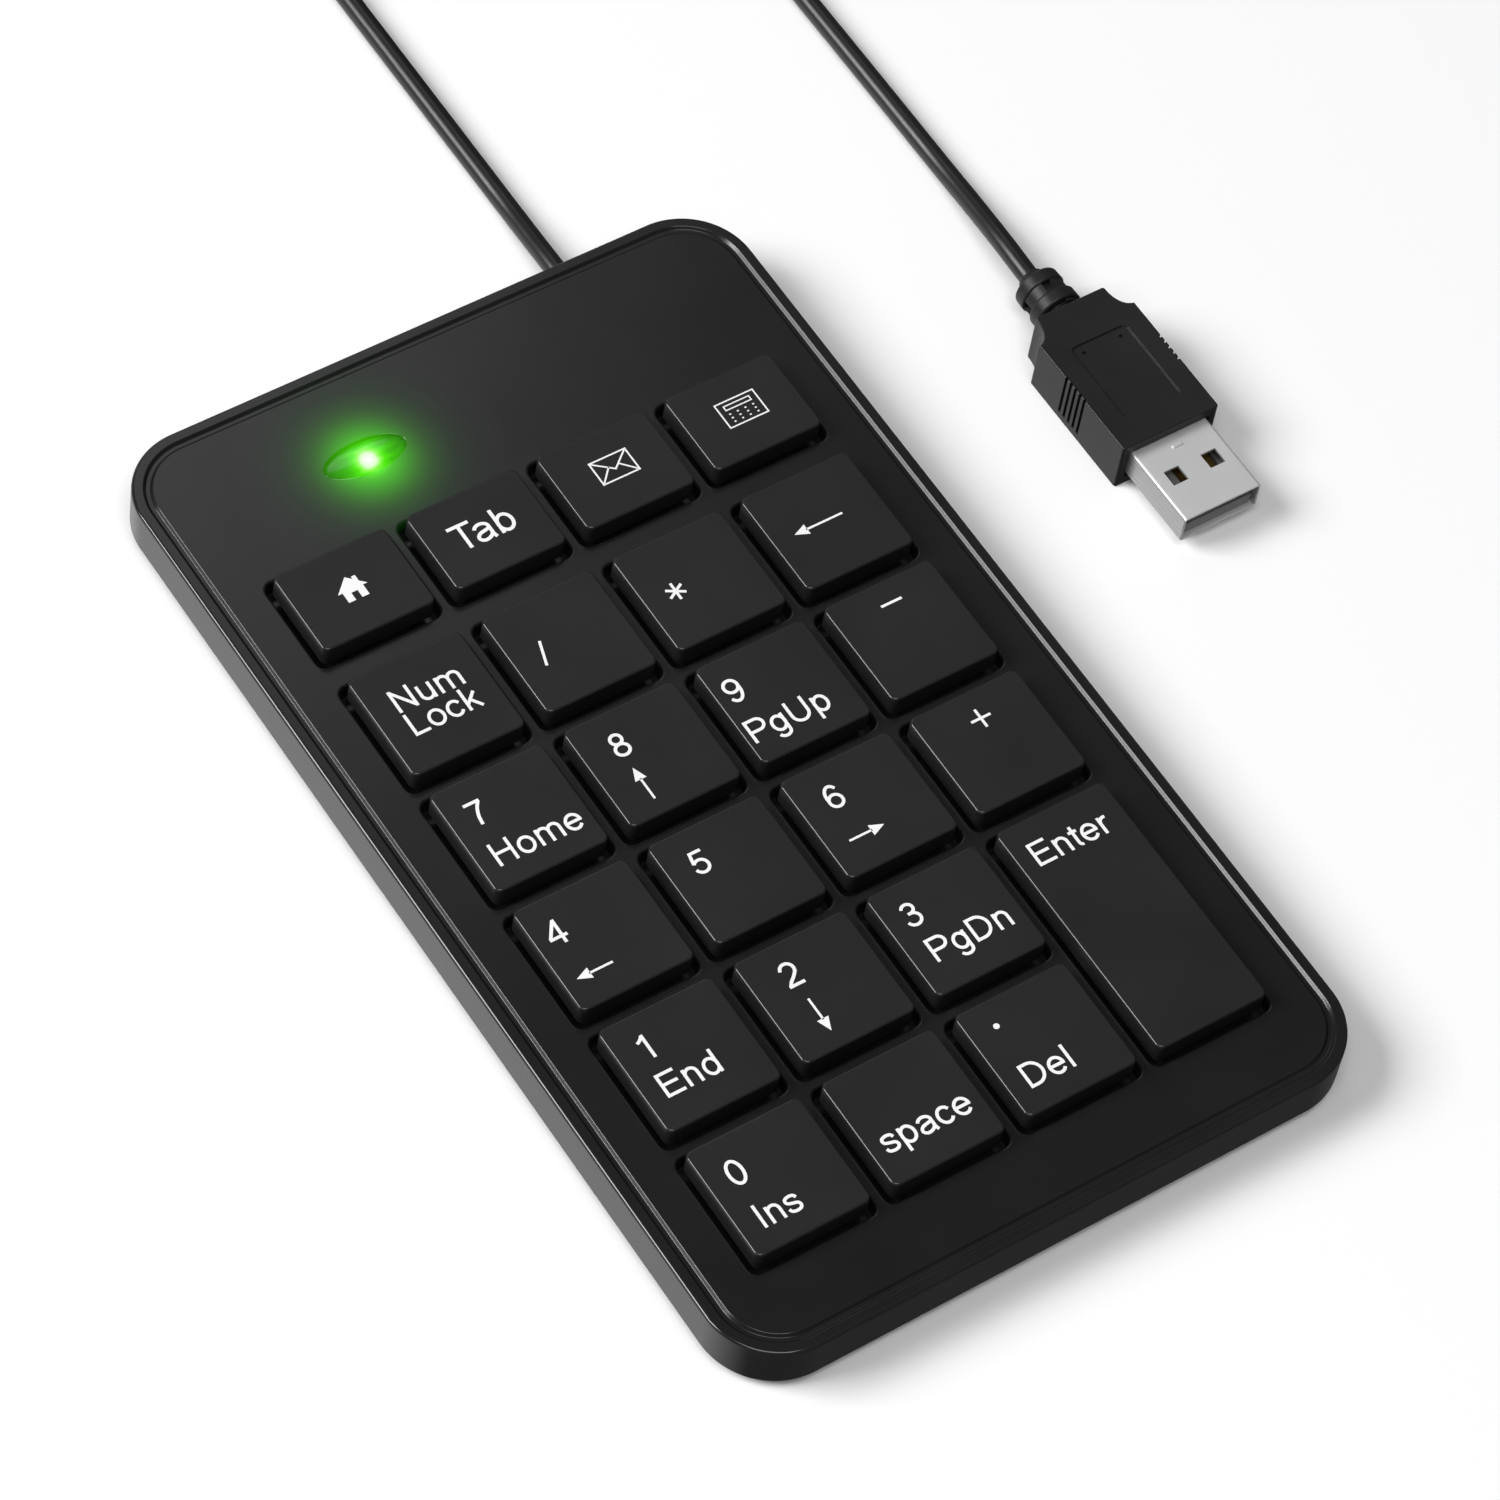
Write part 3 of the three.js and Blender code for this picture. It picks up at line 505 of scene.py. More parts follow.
CHIP_BLACK = moulded("chip_black", (0.02, 0.02, 0.02), 0.55, grain=0.1 * MM)
INSULATOR = moulded("plug_insulator", (0.15, 0.15, 0.15), 0.45, grain=0.1 * MM)
NYLON = moulded("nylon", (0.75, 0.73, 0.66), 0.45, vary=0.05, grain=0.2 * MM)
LAMP = moulded("lamp", (0.1, 0.6, 0.12), 0.2, grain=0.3 * MM)
paint_lamp_glow(LAMP)
LENS_GREEN = moulded("lens", (0.004, 0.03, 0.004), 0.12, grain=0.4 * MM, wear_and_highlight=0.0)
# The lens is painted with the lamp's glow and streaks as emission: painted light.
paint_lamp_glow(LENS_GREEN, unevenness=0.15)


# ---------- camera, floor and light ----------
VIEW_TARGET = Vector((6.01 * MM, 3.0 * MM, 0))
VIEW_DISTANCE = 762.85 * MM
VIEW_LEFT_OF_FRONT = math.radians(41.756)
VIEW_ABOVE = math.radians(55.273)
VIEW_ROLL = math.radians(10.564)
VIEW_LENS = 148.61
FLOOR_HALF = 4.0


def make_camera():
    data = bpy.data.cameras.new("camera")
    data.sensor_width = 36
    data.lens = VIEW_LENS
    data.clip_end = 10
    camera = bpy.data.objects.new("camera", data)
    bpy.context.scene.collection.objects.link(camera)
    flat = math.cos(VIEW_ABOVE)
    towards_camera = Vector(
        (-math.sin(VIEW_LEFT_OF_FRONT) * flat, -math.cos(VIEW_LEFT_OF_FRONT) * flat, math.sin(VIEW_ABOVE))
    )
    camera.location = VIEW_TARGET + towards_camera * VIEW_DISTANCE
    level = (-towards_camera).to_track_quat("-Z", "Y")
    camera.rotation_mode = "QUATERNION"
    camera.rotation_quaternion = level @ Quaternion((0, 0, 1), VIEW_ROLL)
    bpy.context.scene.camera = camera
    bpy.context.scene.view_settings.view_transform = "Standard"


def make_floor():
    bm = bmesh.new()
    plate(bm, ring(bm, four_corners(-FLOOR_HALF, -FLOOR_HALF, FLOOR_HALF, FLOOR_HALF), 0))
    white = moulded("white_table", (0.86, 0.86, 0.86), 0.6, vary=0.0, wear_and_highlight=0.0, depth=0.0)
    floor = to_object("floor", bm, white)
    floor.visible_glossy = False


def area_light(name, place, side, power):
    """A square light that faces the middle of the case."""
    data = bpy.data.lights.new(name, "AREA")
    data.shape = "RECTANGLE"
    data.size = data.size_y = side
    data.energy = power
    light = bpy.data.objects.new(name, data)
    light.location = place
    light.rotation_mode = "QUATERNION"
    light.rotation_quaternion = (-Vector(place)).to_track_quat("-Z", "Y")
    light.visible_camera = False
    bpy.context.scene.collection.objects.link(light)


def make_world():
    """A dim studio. Below the horizon, which only shiny side walls show, it is bright on the lit side."""
    world = bpy.data.worlds.new("studio")
    bpy.context.scene.world = world
    world.use_nodes = True
    tree = world.node_tree
    direction = add_node(tree, "TexCoord", "Generated", {})
    shares = []
    for towards, start, end in (((-0.67, 0.74, 0), 0.1, 0.5), ((0, 0, -1), 0.0, 0.05)):
        facing = add_node(tree, "VectorMath", "Value", {0: direction, 1: towards}, operation="DOT_PRODUCT")
        shares.append(ranged(tree, facing, 0, 1, start, end))
    brightness = blend_colours(tree, product(tree, *shares), (0.1, 0.1, 0.1), (1.0, 1.0, 1.0))
    feed(tree, brightness, tree.nodes["Background"].inputs["Color"])


def make_lights():
    area_light("left_softbox", (-1.8, 0.95, 1.7), 1.3, 78)
    area_light("overhead_softbox", (-0.35, -0.6, 1.9), 1.2, 20)
    area_light("back_card", (0.46, 1.11, 1.34), 0.5, 1.0)


# ---------- the lead ----------
EXIT_RUN = [
    (0.0233, 0.0663, 0.0032), (0.0233, 0.072, 0.0032), (0.02335, 0.077, 0.0031), (0.0237, 0.083, 0.0023),
    (0.02405, 0.089, 0.00155), (0.0241, 0.096, 0.00145), (0.0241, 0.115, 0.00145), (0.0241, 0.135, 0.00145),
    (0.0241, 0.1536, 0.00145), (0.0253, 0.1605, 0.00145), (0.0288, 0.1665, 0.00145), (0.0341, 0.171, 0.0015),
    (0.0406, 0.1732, 0.00165), (0.0472, 0.17345, 0.0018), (0.056, 0.17349, 0.00183),
]
PLUG_RUN = [
    (0.0784, 0.1429, 0.0094), (0.0784, 0.137, 0.0078), (0.0784, 0.1315, 0.0059), (0.0784, 0.126, 0.0041),
    (0.0784, 0.12, 0.0024), (0.0784, 0.115, 0.0016), (0.0784, 0.11, 0.00145), (0.0784, 0.09, 0.00145),
    (0.0784, 0.075, 0.00145), (0.0783, 0.067, 0.0016), (0.0777, 0.059, 0.0027), (0.077, 0.052, 0.0038),
    (0.0767, 0.0457, 0.004), (0.0767, 0.0415, 0.004),
]
POINTS_PER_TURN = 16
COIL_TURNS = 11.25
# The place of each turn in the bundle: how many cords in from the outside, and how many up.
COIL_PLACES = [
    (0, 0), (1, 0), (2, 0), (2, 1), (1, 1), (0, 1), (0, 2), (1, 2), (2, 2), (2, 3), (1, 3), (0, 3),
]
# The turn steps over to its next place a little earlier each time the bundle changes direction.
COIL_STEP_LAG = [0, 0, 1, 2, 2, 3, 4, 4, 5, 6, 6]
COIL_STEP_LEAD = 0.06
COIL_STEP_SHIFT = 0.105
COIL_STEP_TURNS = 0.14


def smooth_step(value):
    value = min(1.0, max(0.0, value))
    return value * value * (3 - 2 * value)


def coil_point(turns):
    """A point of the coil, that many turns clockwise from its back."""
    inwards, upwards = COIL_PLACES[0]
    for k, lag in enumerate(COIL_STEP_LAG):
        middle = k + 1 - COIL_STEP_LEAD - COIL_STEP_SHIFT * lag
        share = smooth_step((turns - middle) / COIL_STEP_TURNS + 0.5)
        inwards += share * (COIL_PLACES[k + 1][0] - COIL_PLACES[k][0])
        upwards += share * (COIL_PLACES[k + 1][1] - COIL_PLACES[k][1])
    radius = COIL_MID_TURN + (1 - inwards) * COIL_PITCH
    turn = math.pi / 2 - 2 * math.pi * turns
    x = COIL_CENTRE.x + radius * math.cos(turn)
    y = COIL_CENTRE.y + radius * math.sin(turn)
    return (x, y, COIL_FLOOR + upwards * COIL_PITCH)


def make_cord():
    turns = [i / POINTS_PER_TURN for i in range(int(COIL_TURNS * POINTS_PER_TURN) + 1)]
    route = EXIT_RUN + [coil_point(turn) for turn in turns] + PLUG_RUN
    data = bpy.data.curves.new("cord", "CURVE")
    data.dimensions = "3D"
    data.resolution_u = 6
    data.bevel_depth = CORD_DIAMETER / 2
    data.bevel_resolution = 5
    data.use_fill_caps = True
    spline = data.splines.new("BEZIER")
    spline.bezier_points.add(len(route) - 1)
    for point, place in zip(spline.bezier_points, route):
        point.co = place
        point.handle_left_type = point.handle_right_type = "AUTO"
    data.materials.append(CORD_VINYL)
    cord = bpy.data.objects.new("cord", data)
    bpy.context.scene.collection.objects.link(cord)
    return settle(cord, ROOT, "cord_vinyl", "cord_exit_run", "cord_coil", "cord_plug_run")


def evenly(outline, spacing, multiple):
    """Points along the closed outline, about that far apart, their count a multiple of that number."""
    sides = list(zip(outline, outline[1:] + outline[:1]))
    length = sum((b - a).length for a, b in sides)
    count = multiple * round(length / spacing / multiple)
    points = []
    walked = 0.0
    for a, b in sides:
        side = (b - a).length
        while len(points) < count and len(points) * length / count <= walked + side:
            points.append(a.lerp(b, (len(points) * length / count - walked) / side))
        walked += side
    return points


def make_tie():
    """The ribbed band that holds the coil's turns together."""
    low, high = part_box("cord_tie")
    half_x, half_z = (high.x - low.x) / 2, (high.z - low.z) / 2
    middle_x, middle_z = (high.x + low.x) / 2, (high.z + low.z) / 2
    wall, rib_depth, rim, softness = 0.3 * MM, 0.1 * MM, 0.7 * MM, 0.06 * MM
    spacing, points_per_rib = 0.2 * MM, 4
    crest = evenly(rectangle(half_x, half_z, 1.5 * MM, middle_x, middle_z), spacing, points_per_rib)
    valley = shrink(crest, rib_depth)
    ribbed = [crest[i] if i % points_per_rib < 2 else valley[i] for i in range(len(crest))]
    inner, soft = shrink(crest, wall), shrink(crest, softness)
    bm = bmesh.new()
    sections = [
        (inner, low.y), (soft, low.y), (crest, low.y + softness), (crest, low.y + rim),
        (ribbed, low.y + rim + softness), (ribbed, high.y - rim - softness),
        (crest, high.y - rim), (crest, high.y - softness), (soft, high.y), (inner, high.y),
    ]
    sleeve(bm, sections)
    tie = to_object("cord_tie_band", bm, PLUG_VINYL)
    return settle(tie, ROOT, "tie_black", "cord_tie")


# ---------- the case ----------
def key_place(name):
    """The middle of a key in plan, and its half sizes."""
    low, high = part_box(name)
    return (low.x + high.x) / 2, (low.y + high.y) / 2, (high.x - low.x) / 2, (high.y - low.y) / 2


def mouth_cutter():
    """A body through the back wall where the lead leaves: a doorway with a round top."""
    sides = 24
    section = [Vector((CORD_EXIT.x + side * MOUTH, CASE_LOW.z - MM)) for side in (1, -1)]
    for i in range(sides + 1):
        turn = math.pi - math.pi * i / sides
        section.append(Vector((CORD_EXIT.x + MOUTH * math.cos(turn), CORD_EXIT.z + MOUTH * math.sin(turn))))
    bm = bmesh.new()
    bar(bm, section, CASE_HIGH.y - WALL - MM, CASE_HIGH.y + MM)
    return to_object("cutter", bm, None)


def add_well(bm, name):
    """A key's well with soft edges; returns its ring on the case's face and its guide hole's lower ring."""
    x, y, half_x, half_y = key_place(name)
    opening = rectangle(half_x + WELL_GAP, half_y + WELL_GAP, WELL_CORNER, x, y)
    start, lip, foot, end = -0.5 * MM, 0.38 * MM, 0.3 * MM, 0.8 * MM
    profile = rounded([(start, FACE_Z, 0), (0, FACE_Z, lip), (0, WELL_FLOOR, foot), (end, WELL_FLOOR, 0)], 4)
    face_ring, floor_ring = loft(bm, opening, profile)
    guide = rectangle(GUIDE_SIDE / 2, GUIDE_SIDE / 2, WELL_CORNER, x, y)
    guide_top, guide_low = loft(bm, guide, [(0, WELL_FLOOR), (0, FIELD_Z)])
    plate(bm, floor_ring, [guide_top])
    return face_ring, guide_low


def add_boss(bm, x, y, radius, low, bored):
    """A round boss under the case's ceiling, some with a bore for a screw; returns its upper ring."""
    ceiling_ring, end_ring = loft(bm, circle(radius, x, y), [(0, CEILING_Z), (0, low)])
    if not bored:
        plate(bm, end_ring)
        return ceiling_ring
    bore_low, bore_top = loft(bm, circle(SCREW_BORE, x, y), [(0, low), (0, BOSS_TOP)])
    plate(bm, end_ring, [bore_low])
    plate(bm, bore_top)
    return ceiling_ring


def make_top_cover():
    bm = bmesh.new()
    low = CASE_LOW.z
    rim = rounded(
        [
            (WALL, low, 0), (0, low, 0.2 * MM), (0, FACE_Z, 0.48 * MM), (1.47 * MM, FACE_Z, 0.16 * MM),
            (1.83 * MM, FACE_Z - 0.36 * MM, 0.14 * MM), (2.33 * MM, FACE_Z - 0.36 * MM, 0.14 * MM),
            (2.7 * MM, FACE_Z, 0.16 * MM), (3.2 * MM, FACE_Z, 0),
        ],
        6,
    )
    outline = rectangle(CASE_HALF.x, CASE_HALF.y, CASE_CORNER, steps=24)
    _, face_edge = loft(bm, outline, rim)
    wells = [add_well(bm, name) for name in KEY_NAMES]
    lens_gap = ellipse(LENS_HALF.x + LENS_GAP, LENS_HALF.y + LENS_GAP, LENS_CENTRE.x, LENS_CENTRE.y)
    lens_profile = rounded([(-0.3 * MM, FACE_Z, 0), (0, FACE_Z, 0.14 * MM), (0, CEILING_Z, 0)], 4)
    lens_face, lens_low = loft(bm, lens_gap, lens_profile)
    plate(bm, face_edge, [face_ring for face_ring, _ in wells] + [lens_face])

    _, ceiling_edge = loft(bm, shrink(outline, WALL), [(0, low), (0, CEILING_Z)])
    key_boxes = [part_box(name) for name in KEY_NAMES]
    front = min(low_corner.y for low_corner, _ in key_boxes) - FIELD_MARGIN
    back = max(high_corner.y for _, high_corner in key_boxes) + FIELD_MARGIN
    field = rectangle(FIELD_HALF, (back - front) / 2, 0.5 * MM, 0, (back + front) / 2)
    field_top, field_low = loft(bm, field, [(0, CEILING_Z), (0, FIELD_Z)])
    bosses = []
    for screw_low, screw_high in SCREW_PLACES:
        middle = (screw_low + screw_high) / 2
        bosses.append(add_boss(bm, middle.x, middle.y, BOSS_RADIUS, BOSS_LOW, bored=True))
    for x, y in BOARD_POSTS:
        bosses.append(add_boss(bm, x, y, BOARD_POST_RADIUS, BOARD_POST_LOW, bored=False))
    plate(bm, ceiling_edge, [field_top, lens_low, *bosses])
    plate(bm, field_low, [guide_low for _, guide_low in wells])

    cover = to_object("case_top", bm, CASE_PLASTIC)
    cut(cover, mouth_cutter())
    return settle(cover, ROOT, "case_black", "top_cover")


def make_bottom_cover():
    low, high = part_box("bottom_cover")
    deck, boss_top, rib = 1.6 * MM, 2.2 * MM, 0.7 * MM
    seat_radius, seat_depth, boss_radius = 2.1 * MM, 0.7 * MM, 2.2 * MM
    foot_gap, foot_rise, grommet_gap = 0.15 * MM, 0.1 * MM, 0.6 * MM
    outline = rectangle(high.x, high.y, CASE_CORNER - (CASE_HALF.x - high.x), steps=24)
    bm = bmesh.new()
    profile = rounded(
        [
            (0.8 * MM, low.z, 0), (0, low.z, 0.3 * MM), (0, high.z, 0.15 * MM), (rib, high.z, 0.15 * MM),
            (rib, deck, 0.2 * MM), (rib + MM, deck, 0),
        ],
        4,
    )
    under_edge, deck_edge = loft(bm, outline, profile)
    under_holes, deck_holes = [], []
    for screw_low, screw_high in SCREW_PLACES:
        x, y, _ = (screw_low + screw_high) / 2
        seat = screw_low.z + seat_depth
        mouth_ring, seat_ring = loft(bm, circle(seat_radius, x, y), [(0, low.z), (0, seat)])
        bore_low, bore_top = loft(bm, circle(SCREW_BORE, x, y), [(0, seat), (0, boss_top)])
        boss_foot, boss_head = loft(bm, circle(boss_radius, x, y), [(0, deck), (0, boss_top)])
        plate(bm, seat_ring, [bore_low])
        plate(bm, boss_head, [bore_top])
        under_holes.append(mouth_ring)
        deck_holes.append(boss_foot)
    for foot_low, foot_high in FOOT_PLACES:
        x, y, _ = (foot_low + foot_high) / 2
        recess = circle((foot_high.x - foot_low.x) / 2 + foot_gap, x, y, FOOT_SIDES)
        recess_ring, recess_top = loft(bm, recess, [(0, low.z), (0, foot_high.z + foot_rise)])
        plate(bm, recess_top)
        under_holes.append(recess_ring)
    plate(bm, under_edge, under_holes)
    plate(bm, deck_edge, deck_holes)
    base = to_object("case_bottom", bm, BASE_PLASTIC)
    grommet_low, grommet_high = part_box("cord_grommet")
    notch_low = (grommet_low.x - grommet_gap, grommet_low.y, deck)
    notch_high = (grommet_high.x + grommet_gap, CASE_HIGH.y, high.z + MM)
    cut_blocks(base, [(notch_low, notch_high)])
    return settle(base, ROOT, "case_black", "bottom_cover")


def make_foot(index, low, high):
    middle = (low + high) / 2
    profile = rounded([(MM, low.z, 0), (0, low.z, 0.25 * MM), (0, high.z, 0.1 * MM), (MM, high.z, 0)], 4)
    bm = bmesh.new()
    solid(bm, circle((high.x - low.x) / 2, middle.x, middle.y, FOOT_SIDES), profile)
    settle(to_object(f"rubber_foot_{index}", bm, RUBBER), ROOT, "rubber_black", f"foot_{index}")


def make_screw(index, low, high):
    """A small pan head with a cross recess, and a shank ridged by its thread."""
    head_radius, shank_radius = 1.8 * MM, 0.85 * MM
    thread_depth, thread_pitch = 0.15 * MM, 0.36 * MM
    head_top, thread_end = low.z + 0.45 * MM, high.z - 0.6 * MM
    middle = (low + high) / 2
    crest = head_radius - shank_radius
    edge, brim = 0.25 * MM, 0.06 * MM
    profile = rounded([(MM, low.z, 0), (0, low.z, edge), (0, head_top, brim), (crest, head_top, 0)], 4)
    z = head_top + thread_pitch / 2
    while z + thread_pitch / 2 < thread_end:
        profile += [(crest + thread_depth, z), (crest, z + thread_pitch / 2)]
        z += thread_pitch
    profile += [(crest + thread_depth, thread_end), (head_radius - 0.1 * MM, high.z)]
    bm = bmesh.new()
    solid(bm, circle(head_radius, middle.x, middle.y), profile)
    screw = to_object(f"screw_{index}", bm, SCREW_STEEL)
    arm, half = 1.0 * MM, 0.2 * MM
    cross = [
        (arm, -half), (arm, half), (half, half), (half, arm), (-half, arm), (-half, half),
        (-arm, half), (-arm, -half), (-half, -half), (-half, -arm), (half, -arm), (half, -half),
    ]
    recess = bmesh.new()
    outline = [Vector((middle.x + x, middle.y + y)) for x, y in cross]
    solid(recess, outline, [(-0.03 * MM, low.z - 0.1 * MM), (0.08 * MM, low.z + 0.28 * MM)])
    cut(screw, to_object("cutter", recess, None))
    settle(screw, ROOT, "screw_steel", f"case_screw_{index}")


# ---------- the rubber domes ----------
DOME_LOW = 2.3 * MM
SHEET_TOP = 2.6 * MM
DOME_TOP = 4.05 * MM
DOME_FOOT = 4.4 * MM
DOME_SIDES = 40


def make_dome(name):
    """The soft dome under a key, in the shape it has before the key presses it flat."""
    x, y, _, _ = key_place(name)
    bm = bmesh.new()
    profile = rounded(
        [
            (2.7 * MM, 3.5 * MM, 0), (2.4 * MM, 3.5 * MM, 0.1 * MM), (0.7 * MM, DOME_LOW, 0.1 * MM),
            (0, DOME_LOW, 0),
            (0, SHEET_TOP, 0.1 * MM), (0.35 * MM, 2.75 * MM, 0.2 * MM), (2.05 * MM, DOME_TOP, 0.25 * MM),
            (2.6 * MM, DOME_TOP, 0),
        ],
        4,
    )
    solid(bm, circle(DOME_FOOT, x, y, DOME_SIDES), profile)
    dome = to_object(name + "_dome", bm, SILICONE)
    settle(dome, ROOT, "silicone")
    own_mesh(dome)


def make_dome_sheet():
    low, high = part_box("dome_sheet")
    middle = (low + high) / 2
    bm = bmesh.new()
    outline = rectangle((high.x - low.x) / 2, (high.y - low.y) / 2, 1.5 * MM, middle.x, middle.y)
    inset, edge = 0.2 * MM, 0.08 * MM
    profile = rounded([(inset, low.z, 0), (0, low.z, edge), (0, SHEET_TOP, edge), (inset, SHEET_TOP, 0)], 3)
    under, over = loft(bm, outline, profile)
    lower_holes, upper_holes = [], []
    for name in KEY_NAMES:
        x, y, _, _ = key_place(name)
        lower, upper = loft(bm, circle(DOME_FOOT, x, y, DOME_SIDES), [(0, low.z), (0, SHEET_TOP)])
        lower_holes.append(lower)
        upper_holes.append(upper)
    plate(bm, under, lower_holes)
    plate(bm, over, upper_holes)
    settle(to_object("dome_mat", bm, SILICONE), ROOT, "silicone", "dome_sheet")


# ---------- the keys ----------
def make_key(name):
    x, y, half_x, half_y = key_place(name)
    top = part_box(name)[1].z
    outline = rectangle(half_x, half_y, KEY_CORNER, x, y)
    bm = bmesh.new()
    skin = rounded(
        [
            (KEY_WALL, KEY_CEILING, 0), (KEY_WALL, KEY_SKIRT, 0.1 * MM), (0, KEY_SKIRT, 0.12 * MM),
            (0, top, 0.3 * MM), (0.9 * MM, top, 0),
        ],
        5,
    )
    ceiling_ring, top_ring = loft(bm, outline, skin)
    plate(bm, top_ring)
    stem = rectangle(STEM_SIDE / 2, STEM_SIDE / 2, STEM_CORNER, x, y)
    stem_profile = rounded([(0, KEY_CEILING, 0), (0, STEM_FOOT, 0.15 * MM), (0.6 * MM, STEM_FOOT, 0)], 3)
    stem_ring, foot_ring = loft(bm, stem, stem_profile)
    plate(bm, ceiling_ring, [stem_ring])
    plate(bm, foot_ring)
    key = to_object(name + "_cap", bm, KEY_PLASTIC)
    lugs_low = (x - LUG_REACH, y - LUG_WIDTH / 2, LUG_LOW)
    lugs_high = (x + LUG_REACH, y + LUG_WIDTH / 2, LUG_TOP)
    cut_blocks(key, [(lugs_low, lugs_high)], "UNION")
    if name == "key_enter":
        add_prongs(key, x, y)
    return settle(key, name, "key_black", name)


def add_prongs(key, x, y):
    """The two forks under the long key that hold its levelling wire."""
    wire_x, spread, half, clear = x + 5.0 * MM, 6.0 * MM, 1.0 * MM, 0.1 * MM
    fork_left, fork_right, fork_low = wire_x - 1.3 * MM, wire_x + 1.5 * MM, 7.5 * MM
    gap_left, gap_right, gap_top = wire_x - 0.7 * MM, wire_x + 0.9 * MM, 8.7 * MM
    for side in (-1, 1):
        front, back = y + side * spread - half, y + side * spread + half
        fork = ((fork_left, front, fork_low), (fork_right, back, KEY_CEILING + clear))
        gap = ((gap_left, front - clear, fork_low - clear), (gap_right, back + clear, gap_top))
        cut_blocks(key, [fork], "UNION")
        cut_blocks(key, [gap])


# ---------- the legends ----------
PAINT = 0.02 * MM
PAINT_LAYER = 0.003 * MM
PAINT_CLEAR = 0.002 * MM
SAME_POINT = 0.01 * MM
ARC_PART = 12


def arc(x, y, half_x, half_y, start=0, end=360):
    """Points along an ellipse from one angle to another, in degrees."""
    count = max(2, round(abs(end - start) / ARC_PART))
    turns = [math.radians(start + (end - start) * i / count) for i in range(count + 1)]
    return [(x + half_x * math.cos(turn), y + half_y * math.sin(turn)) for turn in turns]


def curve(*corners):
    """A smooth line through the points."""
    steps = 6
    path = []
    ends = [corners[0], *corners, corners[-1]]
    for places in zip(ends, ends[1:], ends[2:], ends[3:]):
        for i in range(steps):
            t = i / steps
            weights = (-t + 2 * t**2 - t**3, 2 - 5 * t**2 + 3 * t**3, t + 4 * t**2 - 3 * t**3, t**3 - t**2)
            path.append(tuple(sum(w * c for w, c in zip(weights, column)) / 2 for column in zip(*places)))
    return path + [corners[-1]]


def upright(x, top=1):
    return [(x, 0), (x, top)]


def level(y, left, right):
    return [(left, y), (right, y)]


